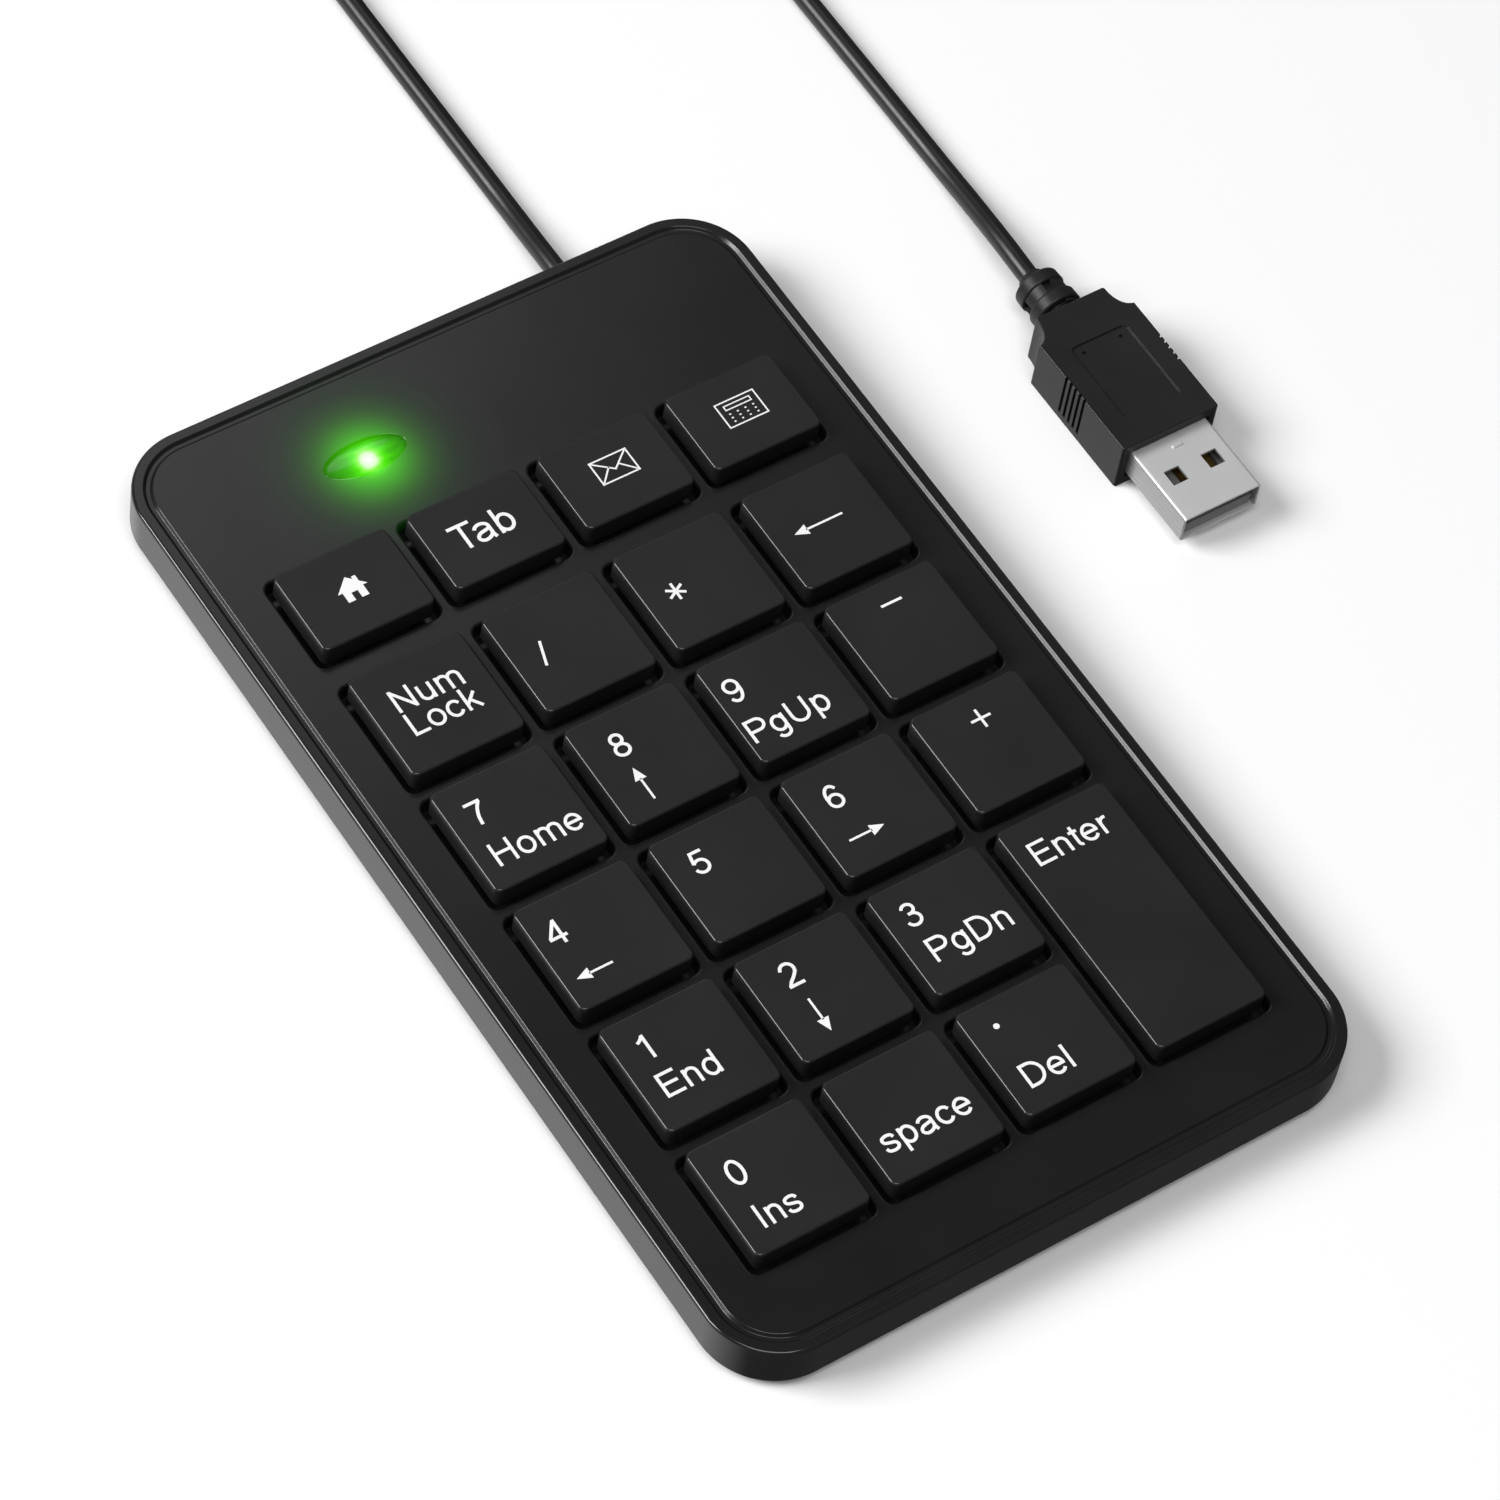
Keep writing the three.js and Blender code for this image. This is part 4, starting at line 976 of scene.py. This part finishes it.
# A plain upright alphabet. Each letter is its advance and the middle lines of its strokes, where
# 1 is the height of a capital.
GLYPHS = {
    "0": (0.777, [arc(0.385, 0.5, 0.265, 0.45)]),
    "1": (0.777, [upright(0.46), curve((0.17, 0.74), (0.27, 0.79), (0.38, 0.87), (0.44, 0.95))]),
    "2": (0.777, [
        arc(0.38, 0.7, 0.255, 0.25, 172, -12) + curve((0.6, 0.55), (0.45, 0.39), (0.25, 0.22), (0.13, 0.06)),
        level(0.06, 0.08, 0.7),
    ]),
    "3": (0.777, [
        arc(0.365, 0.75, 0.225, 0.2, 165, -90), arc(0.365, 0.3, 0.275, 0.25, 90, -168),
        level(0.55, 0.27, 0.38),
    ]),
    "4": (0.777, [upright(0.52), level(0.29, 0.03, 0.72), [(0.51, 0.95), (0.07, 0.31)]]),
    "5": (0.777, [
        level(0.93, 0.2, 0.67), [(0.23, 0.98), (0.14, 0.47)], arc(0.37, 0.32, 0.275, 0.27, 145, -165),
    ]),
    "6": (0.777, [arc(0.39, 0.31, 0.265, 0.26), arc(0.41, 0.49, 0.285, 0.46, 40, 195)]),
    "7": (0.777, [level(0.93, 0.07, 0.7), curve((0.66, 0.92), (0.49, 0.68), (0.36, 0.36), (0.31, 0))]),
    "8": (0.777, [arc(0.385, 0.74, 0.215, 0.205), arc(0.385, 0.285, 0.265, 0.235)]),
    "9": (0.777, [arc(0.385, 0.69, 0.265, 0.26), arc(0.365, 0.51, 0.285, 0.46, 220, 375)]),
    "D": (1.008, [
        upright(0.17),
        level(0.94, 0.17, 0.44) + arc(0.44, 0.5, 0.43, 0.44, 78, -78) + level(0.06, 0.44, 0.17),
    ]),
    "E": (0.932, [upright(0.17), level(0.94, 0.17, 0.84), level(0.52, 0.17, 0.8), level(0.06, 0.17, 0.86)]),
    "H": (1.008, [upright(0.17), upright(0.84), level(0.525, 0.17, 0.84)]),
    "I": (0.388, [upright(0.195)]),
    "L": (0.777, [upright(0.16), level(0.06, 0.16, 0.73)]),
    "N": (1.008, [upright(0.165), upright(0.84), [(0.165, 0.96), (0.84, 0.04)]]),
    "P": (0.932, [
        upright(0.17),
        level(0.94, 0.17, 0.56) + arc(0.56, 0.7, 0.27, 0.24, 78, -78) + level(0.46, 0.56, 0.17),
    ]),
    "T": (0.853, [upright(0.426), level(0.94, 0.03, 0.82)]),
    "U": (1.008, [
        [(0.17, 1), (0.17, 0.38)] + arc(0.505, 0.38, 0.335, 0.335, 190, 350) + [(0.84, 0.38), (0.84, 1)],
    ]),
    "a": (0.777, [
        arc(0.37, 0.49, 0.25, 0.185, 165, 10) + [(0.62, 0.4), (0.62, 0.16), (0.64, 0.07), (0.67, 0)],
        curve(
            (0.62, 0.42), (0.45, 0.385), (0.25, 0.345), (0.13, 0.25), (0.13, 0.13), (0.25, 0.045),
            (0.42, 0.06), (0.56, 0.14), (0.62, 0.25),
        ),
    ]),
    "b": (0.777, [upright(0.155), arc(0.4, 0.36, 0.255, 0.315)]),
    "c": (0.698, [arc(0.375, 0.36, 0.27, 0.315, 32, 328)]),
    "d": (0.777, [upright(0.62), arc(0.375, 0.36, 0.255, 0.315)]),
    "e": (0.777, [arc(0.39, 0.36, 0.28, 0.315, 0, 325), level(0.37, 0.11, 0.72)]),
    "g": (0.777, [
        arc(0.375, 0.37, 0.255, 0.305),
        [(0.62, 0.725), (0.62, 0.0)] + arc(0.375, -0.02, 0.245, 0.205, -10, -160),
    ]),
    "k": (0.698, [upright(0.155), [(0.62, 0.71), (0.16, 0.27)], [(0.34, 0.43), (0.65, 0.01)]]),
    "l": (0.31, [upright(0.155)]),
    "m": (1.163, [
        upright(0.15, 0.725),
        arc(0.365, 0.46, 0.215, 0.21, 175, 10) + [(0.58, 0.42), (0.58, 0)],
        arc(0.795, 0.46, 0.215, 0.21, 175, 10) + [(1.01, 0.42), (1.01, 0)],
    ]),
    "n": (0.777, [
        upright(0.155, 0.725), arc(0.385, 0.44, 0.23, 0.23, 175, 10) + [(0.615, 0.4), (0.615, 0)],
    ]),
    "o": (0.777, [arc(0.388, 0.36, 0.28, 0.315)]),
    "p": (0.777, [[(0.155, -0.27), (0.155, 0.725)], arc(0.4, 0.36, 0.255, 0.315)]),
    "r": (0.465, [upright(0.155, 0.725), arc(0.38, 0.42, 0.22, 0.24, 170, 72)]),
    "s": (0.698, [
        curve(
            (0.58, 0.53), (0.51, 0.64), (0.35, 0.672), (0.18, 0.63), (0.125, 0.53), (0.18, 0.43),
            (0.35, 0.37), (0.53, 0.315), (0.59, 0.2), (0.52, 0.085), (0.35, 0.048), (0.17, 0.09),
            (0.1, 0.21),
        ),
    ]),
    "t": (0.388, [
        [(0.2, 0.9), (0.2, 0.18)] + arc(0.31, 0.175, 0.11, 0.115, 190, 280), level(0.665, 0.03, 0.37),
    ]),
    "u": (0.777, [
        upright(0.62, 0.725), [(0.155, 0.725), (0.155, 0.28)] + arc(0.385, 0.28, 0.23, 0.23, 190, 355),
    ]),
}
# How much closer a pair of letters stands than their advance says.
CLOSER = {"Ta": 0.155}
LETTER_STROKE = 0.122


def lettering(bm, text, height, x, y, z):
    """Printed letters of that capital height, from their left end on the line that they stand on."""
    at = x
    for i, letter in enumerate(text):
        advance, strokes = GLYPHS[letter]
        for layer, points in enumerate(strokes):
            line = [Vector((at + a * height, y + b * height)) for a, b in points]
            ribbon(bm, line, LETTER_STROKE * height, z + layer * PAINT_LAYER)
        at += (advance - CLOSER.get(text[i:i + 2], 0)) * height


def ribbon(bm, points, width, z):
    """One flat line of even width through the points."""
    points = [p for i, p in enumerate(points) if i == 0 or (p - points[i - 1]).length > SAME_POINT]
    closed = len(points) > 3 and (points[0] - points[-1]).length < 2 * SAME_POINT
    if closed:
        points = points[:-1]
    count = len(points)
    pairs = []
    for i, point in enumerate(points):
        ahead = points[(i + 1) % count] - point if closed or i < count - 1 else point - points[i - 1]
        behind = point - points[i - 1] if closed or i > 0 else ahead
        along = (ahead.normalized() + behind.normalized()).normalized()
        aside = Vector((-along.y, along.x)) * (width / 2 / max(0.5, along.dot(ahead.normalized())))
        pairs.append([bm.verts.new((p.x, p.y, z)) for p in (point + aside, point - aside)])
    for i in range(count if closed else count - 1):
        (a, b), (c, d) = pairs[i], pairs[(i + 1) % count]
        bm.faces.new((a, b, d, c))


def stroke(bm, points, width, z):
    """A printed line of that width through the points, each straight part of it a little above the last."""
    for layer, (a, b) in enumerate(zip(points, points[1:])):
        start, end = Vector(a), Vector(b)
        tip = (end - start).normalized() * width / 2
        aside = Vector((-tip.y, tip.x))
        corners = [start - tip + aside, start - tip - aside, end + tip - aside, end + tip + aside]
        patch(bm, corners, z + layer * PAINT_LAYER)


def patch(bm, points, z):
    bm.faces.new([bm.verts.new((p[0], p[1], z)) for p in points])


def arrow(bm, x, y, angle, length, z):
    """An arrow with its middle at x, y."""
    turn = Matrix.Rotation(math.radians(angle), 2)
    head, half, width = 1.9 * MM, 0.8 * MM, 0.3 * MM

    def at(along, across):
        return Vector((x, y)) + turn @ Vector((along, across))

    stroke(bm, [at(-length / 2, 0), at(length / 2 - head, 0)], width, z)
    patch(bm, [at(length / 2, 0), at(length / 2 - head, half), at(length / 2 - head, -half)], z)


def house(bm, x, y, z):
    outline = [
        (-2.1, -0.2), (-1.45, -0.2), (-1.45, -1.8), (-0.45, -1.8), (-0.45, -0.6), (0.45, -0.6), (0.45, -1.8),
        (1.45, -1.8), (1.45, -0.2), (2.1, -0.2), (1.3, 0.55), (1.3, 1.5), (0.75, 1.5), (0.75, 1.1), (0, 1.8),
    ]
    patch(bm, [(x + a * MM, y + b * MM) for a, b in outline], z)


def frame_line(bm, left, front, right, back, width, z):
    """A printed line round a rectangle; returns the corners."""
    corners = four_corners(left, front, right, back)
    stroke(bm, corners + corners[:1], width, z)
    return corners


def envelope(bm, x, y, z):
    half_x, half_y, width = 2.65 * MM, 1.8 * MM, 0.22 * MM
    flap_low, fold_x, fold_y = 0.35 * MM, 0.75 * MM, 0.2 * MM
    corners = frame_line(bm, x - half_x, y - half_y, x + half_x, y + half_y, width, z)
    stroke(bm, [corners[3], (x, y - flap_low), corners[2]], width, z)
    for corner, side in ((corners[0], -1), (corners[1], 1)):
        stroke(bm, [corner, (x + side * fold_x, y + fold_y)], width, z)


def calculator(bm, x, y, z):
    half_x, half_y, width = 2.85 * MM, 1.95 * MM, 0.2 * MM
    frame_line(bm, x - half_x, y - half_y, x + half_x, y + half_y, width, z)
    frame_line(bm, x - 1.9 * MM, y + 0.65 * MM, x + 1.9 * MM, y + 1.3 * MM, 0.17 * MM, z)
    button_half, column_pitch, row_pitch, first_row = 0.03 * MM, 1.15 * MM, 0.62 * MM, y - 0.05 * MM
    for row in range(3):
        for column in range(4):
            dot_x, dot_y = x + (column - 1.5) * column_pitch, first_row - row * row_pitch
            stroke(bm, [(dot_x - button_half, dot_y), (dot_x + button_half, dot_y)], width, z)


# What is printed on each key: (word, left end, standing line, capital height) or (symbol, x, y), in
# millimetres from the key's back left corner.
LEGENDS = {
    "key_web_home": [("house", 7.8, -6.2)],
    "key_tab": [("Tab", 3.3, -8.1, 3.9)],
    "key_mail": [("envelope", 8.05, -6.0)],
    "key_calculator": [("calculator", 8.05, -6.0)],
    "key_num_lock": [("Num", 3.0, -7.3, 3.4), ("Lock", 3.0, -11.1, 3.4)],
    "key_divide": [("slash", 4.2, -8.1)],
    "key_multiply": [("star", 4.5, -8.1)],
    "key_backspace": [("long_left", 6.65, -8.0)],
    "key_7": [("7", 2.6, -6.8, 3.5), ("Home", 2.0, -13.0, 3.4)],
    "key_8": [("8", 3.8, -6.8, 3.5), ("up", 4.75, -11.1)],
    "key_9": [("9", 1.3, -6.8, 3.5), ("PgUp", 0.5, -13.0, 3.4)],
    "key_minus": [("minus", 8.1, -3.4)],
    "key_4": [("4", 1.8, -6.8, 3.5), ("left", 4.3, -11.8)],
    "key_5": [("5", 3.2, -6.7, 3.4)],
    "key_6": [("6", 3.5, -6.7, 3.4), ("right", 5.6, -11.3)],
    "key_plus": [("plus", 8.1, -4.2)],
    "key_1": [("1", 2.7, -6.4, 3.4), ("End", 2.2, -11.9, 3.4)],
    "key_2": [("2", 4.0, -6.4, 3.5), ("down", 5.35, -11.1)],
    "key_3": [("3", 2.4, -6.4, 3.4), ("PgDn", 2.4, -11.9, 3.4)],
    "key_enter": [("Enter", 1.9, -6.7, 3.4)],
    "key_0": [("0", 2.6, -6.9, 3.5), ("Ins", 2.5, -13.1, 3.3)],
    "key_space": [("space", 1.7, -12.0, 3.4)],
    "key_decimal": [("Del", 2.3, -12.9, 3.4), ("dot", 3.8, -3.7)],
}


SIGN_LINE = 0.36 * MM
# The plain signs are lines through their middle; each is half of a line, to the right and up.
SIGNS = {
    "slash": [(0.5 * MM, 1.6 * MM)],
    "star": [Matrix.Rotation(math.radians(angle), 2) @ Vector((1.15 * MM, 0)) for angle in (90, 30, 150)],
    "minus": [(1.35 * MM, 0)],
    "plus": [(1.25 * MM, 0), (0, 1.25 * MM)],
}
# The way that each arrow points, and its length.
ARROWS = {
    "up": (90, 4.9 * MM), "down": (270, 4.9 * MM), "left": (180, 4.9 * MM), "right": (0, 4.9 * MM),
    "long_left": (180, 7.0 * MM),
}
PICTURES = {"house": house, "envelope": envelope, "calculator": calculator}


def draw_symbol(bm, kind, x, y, z):
    if kind in PICTURES:
        PICTURES[kind](bm, x, y, z)
    elif kind in ARROWS:
        arrow(bm, x, y, *ARROWS[kind], z)
    elif kind in SIGNS:
        for layer, (right, up) in enumerate(SIGNS[kind]):
            stroke(bm, [(x - right, y - up), (x + right, y + up)], SIGN_LINE, z + layer * PAINT_LAYER)
    else:
        patch(bm, circle(0.4 * MM, x, y, 20), z)


def make_legend(name):
    low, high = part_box(name)
    left, back, z = low.x, high.y, high.z + PAINT_CLEAR
    bm = bmesh.new()
    for item, x, y, *height in LEGENDS[name]:
        if height:
            lettering(bm, item, height[0] * MM, left + x * MM, back + y * MM, z)
        else:
            draw_symbol(bm, item, left + x * MM, back + y * MM, z)
    for face in bm.faces:
        if face.normal.z < 0:
            face.normal_flip()
    raised = bmesh.ops.extrude_face_region(bm, geom=bm.faces[:])
    for item in raised["geom"]:
        if isinstance(item, bmesh.types.BMVert):
            item.co.z += PAINT
    obj = to_object(name + "_legend", bm, LEGEND_PAINT)
    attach(obj, name)


# ---------- the status light ----------
def make_lens():
    bm = bmesh.new()
    flange_width, softness, rise = 0.9 * MM, 0.05 * MM, 0.3 * MM
    low, shoulder = LENS_LOW.z, LENS_LOW.z + 0.4 * MM
    flange = ellipse(LENS_HALF.x + flange_width, LENS_HALF.y + flange_width, LENS_CENTRE.x, LENS_CENTRE.y)
    under, flange_top = loft(bm, flange, [(softness, low), (0, low + softness), (0, shoulder)])
    body = ellipse(LENS_HALF.x, LENS_HALF.y, LENS_CENTRE.x, LENS_CENTRE.y)
    body_low, crown_ring = loft(bm, body, [(0, shoulder), (0, FACE_Z - rise)])
    middle = Vector((LENS_CENTRE.x, LENS_CENTRE.y))
    steps = 12
    for i in range(1, steps):
        turn = math.pi / 2 * i / steps
        smaller = [middle + (point - middle) * math.cos(turn) for point in body]
        upper = ring(bm, smaller, FACE_Z - rise + math.sin(turn) * rise)
        join_rings(bm, crown_ring, upper)
        crown_ring = upper
    plate(bm, flange_top, [body_low])
    plate(bm, under)
    plate(bm, crown_ring)
    lens = to_object("status_lens", bm, LENS_GREEN)
    settle(lens, ROOT, "lens_green", "led_lens")


# ---------- the plug ----------
def plug_outline():
    """The mould from above: square shoulders at the front, hollow ones where it narrows to the lead."""
    half = PLUG_HIGH.x - PLUG_X
    neck, front, back, shoulder = 5.4 * MM, PLUG_LOW.y, PLUG_LOW.y + 19 * MM, PLUG_LOW.y + 23 * MM
    sweep = []
    steps = 10
    for i in range(1, steps):
        t = i / steps
        across = half + (neck - half) * (1 - (1 - t) ** 2)
        sweep.append((across, back + (shoulder - back) * (t * t * 0.75 + t * 0.25), 0))
    softness = 0.35 * MM
    right = [(half, front, softness), (half, back, 0), *sweep, (neck, shoulder, softness)]
    left = [(-a, b, radius) for a, b, radius in reversed(right)]
    return [Vector((PLUG_X + p.x, p.y)) for p in rounded(right + left, 4, closed=True)]


def make_plug_mould():
    top, edge, softness = 8.0 * MM, 0.25 * MM, 0.2 * MM
    panel_y, panel_depth, panel_softness = PLUG_LOW.y + 10.2 * MM, 0.28 * MM, 0.06 * MM
    dot_spread, dot_y, dot_depth = 2.9 * MM, PLUG_LOW.y + 15.4 * MM, 0.4 * MM
    bm = bmesh.new()
    profile = rounded([(edge, 0, 0), (0, 0, softness), (0, top, softness), (edge, top, 0)], 4)
    under, over = loft(bm, plug_outline(), profile)
    panel_profile = rounded(
        [
            (-0.15 * MM, top, 0), (0, top, panel_softness), (0.05 * MM, top - panel_depth, panel_softness),
            (0.3 * MM, top - panel_depth, 0),
        ],
        3,
    )
    panel = rectangle(4.4 * MM, 6.5 * MM, 0.8 * MM, PLUG_X, panel_y)
    panel_edge, panel_floor = loft(bm, panel, panel_profile)
    dots = []
    for side in (-1, 1):
        dot = circle(0.3 * MM, PLUG_X + side * dot_spread, dot_y, 20)
        dot_top, dot_floor = loft(bm, dot, [(0, top - panel_depth), (0, top - panel_depth - dot_depth)])
        plate(bm, dot_floor)
        dots.append(dot_top)
    plate(bm, under)
    plate(bm, over, [panel_edge])
    plate(bm, panel_floor, dots)
    mould = to_object("plug_body", bm, PLUG_VINYL)

    half = PLUG_HIGH.x - PLUG_X
    groove_count, groove_start, groove_pitch = 5, 8.6 * MM, 1.0 * MM
    groove_width, groove_depth = 0.5 * MM, 0.4 * MM
    grooves = []
    for side in (-1, 1):
        left, right = sorted((PLUG_X + side * (half - groove_depth), PLUG_X + side * (half + MM)))
        for i in range(groove_count):
            front = PLUG_LOW.y + groove_start + i * groove_pitch
            grooves.append(((left, front, 1.2 * MM), (right, front + groove_width, top + MM)))
    cut_blocks(mould, grooves)
    gap = 0.3 * MM
    pocket_low = (SHELL_LOW.x - gap, PLUG_LOW.y - MM, SHELL_LOW.z - gap)
    pocket_high = (SHELL_HIGH.x + gap, SHELL_HIGH.y + gap, SHELL_HIGH.z + gap)
    cut_blocks(mould, [(pocket_low, pocket_high)])
    return settle(mould, ROOT, "cord_vinyl", "plug_mould")


def make_strain_relief():
    """Two soft collars on a neck, with a web between them."""
    shoulder, hollow, lip = PLUG_LOW.y + 22.5 * MM, 0.15 * MM, 0.35 * MM
    bm = bmesh.new()
    profile = rounded(
        [
            (0, shoulder, 0), (2.4 * MM, shoulder, 0),
            (2.35 * MM, 38.6 * MM, hollow), (3.5 * MM, 38.6 * MM, lip),
            (3.45 * MM, 40.6 * MM, lip), (2.25 * MM, 40.6 * MM, hollow),
            (2.2 * MM, 42.2 * MM, hollow), (3.3 * MM, 42.2 * MM, lip),
            (3.2 * MM, 44.2 * MM, lip), (2.0 * MM, 44.2 * MM, hollow),
            (1.75 * MM, PLUG_HIGH.y, 0.2 * MM), (0, PLUG_HIGH.y, 0),
        ],
        4,
    )
    lathe(bm, profile)
    for angle, front, back in ((50, 38.2, 42.6), (-130, 38.2, 42.6), (140, 40.2, 43.6), (-40, 40.2, 43.6)):
        add_web(bm, math.radians(angle), front * MM, back * MM)
    bmesh.ops.translate(bm, verts=bm.verts, vec=(PLUG_X, 0, SHELL_Z))
    relief = to_object("strain_relief", bm, PLUG_VINYL)
    return settle(relief, ROOT, "cord_vinyl")


def add_web(bm, angle, front, back):
    """A short bar between the collars, round the neck at that angle."""
    half, inner, outer, steps = math.radians(32), 1.8 * MM, 3.05 * MM, 8
    turns = [angle - half + 2 * half * i / steps for i in range(steps + 1)]
    edge = [(outer, turn) for turn in turns] + [(inner, turn) for turn in reversed(turns)]
    section = [Vector((radius * math.cos(turn), radius * math.sin(turn))) for radius, turn in edge]
    bar(bm, section, front, back)


def make_plug_shell():
    half_x, half_z = (SHELL_HIGH.x - SHELL_LOW.x) / 2, (SHELL_HIGH.z - SHELL_LOW.z) / 2
    thickness, lip = 0.35 * MM, 0.08 * MM
    window_spread, window_half, window_length = 2.9 * MM, 1.15 * MM, 2.4 * MM
    window_y = SHELL_LOW.y + 6.4 * MM
    painted_shade_slope = 0.7
    outer = rectangle(half_x, half_z, 0.5 * MM, PLUG_X, SHELL_Z)
    inner = shrink(outer, thickness)
    bm = bmesh.new()
    sections = [
        (inner, SHELL_HIGH.y), (inner, SHELL_LOW.y + lip), (shrink(inner, -lip), SHELL_LOW.y),
        (shrink(outer, lip), SHELL_LOW.y), (outer, SHELL_LOW.y + lip), (outer, SHELL_HIGH.y),
    ]
    sleeve(bm, sections)
    shell = to_object("plug_sleeve", bm, PLUG_STEEL)
    windows = []
    for side in (-1, 1):
        x = PLUG_X + side * window_spread
        low = (x - window_half, window_y - window_length / 2, SHELL_LOW.z - MM)
        high = (x + window_half, window_y + window_length / 2, SHELL_HIGH.z + MM)
        windows.append((low, high))
    cut_blocks(shell, windows)
    # The side faces take the darker copy of the steel: painted shade.
    shell.data.materials.append(PLUG_STEEL_PAINTED_SHADE)
    for face in shell.data.polygons:
        if abs(face.normal.x) > painted_shade_slope:
            face.material_index = len(shell.data.materials) - 1
    return settle(shell, ROOT, "plug_steel", "plug_shell")


def make_shell_tab():
    """The small raised fold on top of the metal sleeve."""
    outline = rectangle(0.8 * MM, 0.28 * MM, 0.25 * MM, PLUG_X, PLUG_LOW.y - 1.7 * MM, steps=4)
    foot, waist, top = SHELL_HIGH.z - 0.1 * MM, SHELL_HIGH.z - 0.05 * MM, SHELL_HIGH.z + 0.2 * MM
    bm = bmesh.new()
    _, over = loft(bm, outline, rounded([(0, waist, 0), (0, top, 0.14 * MM), (0.18 * MM, top, 0)], 3))
    under, _ = loft(bm, outline, [(0, foot), (0, waist)])
    plate(bm, over)
    plate(bm, under)
    tab = to_object("plug_sleeve_tab", bm, PLUG_STEEL)
    return settle(tab, ROOT, "plug_steel")


# ---------- the CAD pieces that stay ----------
KEPT = {
    "circuit_board": BOARD_GREEN, "controller_chip": CHIP_BLACK, "status_led": LAMP, "cord_header": NYLON,
    "cord_grommet": RUBBER, "enter_stabiliser_wire": SPRING_WIRE, "plug_tongue": INSULATOR,
    **{f"membrane_{layer}_film": FILM for layer in ("top", "spacer", "bottom")},
    **{f"plug_contact_{i}": GOLD for i in range(1, 5)},
}


def paint_kept():
    for name, material in KEPT.items():
        node = frame["nodes"][name]
        node.data.materials.clear()
        node.data.materials.append(material)


# ---------- the whole keypad ----------
make_camera()
cord = make_cord()
tie = make_tie()
plug_pieces = [make_plug_mould(), make_strain_relief(), make_plug_shell(), make_shell_tab()]
make_top_cover()
make_bottom_cover()
for number, (foot_low, foot_high) in enumerate(FOOT_PLACES, start=1):
    make_foot(number, foot_low, foot_high)
for number, (screw_low, screw_high) in enumerate(SCREW_PLACES, start=1):
    make_screw(number, screw_low, screw_high)
for key_name in KEY_NAMES:
    make_key(key_name)
    make_legend(key_name)
    make_dome(key_name)
make_dome_sheet()
make_lens()
paint_kept()
make_floor()
make_world()
make_lights()
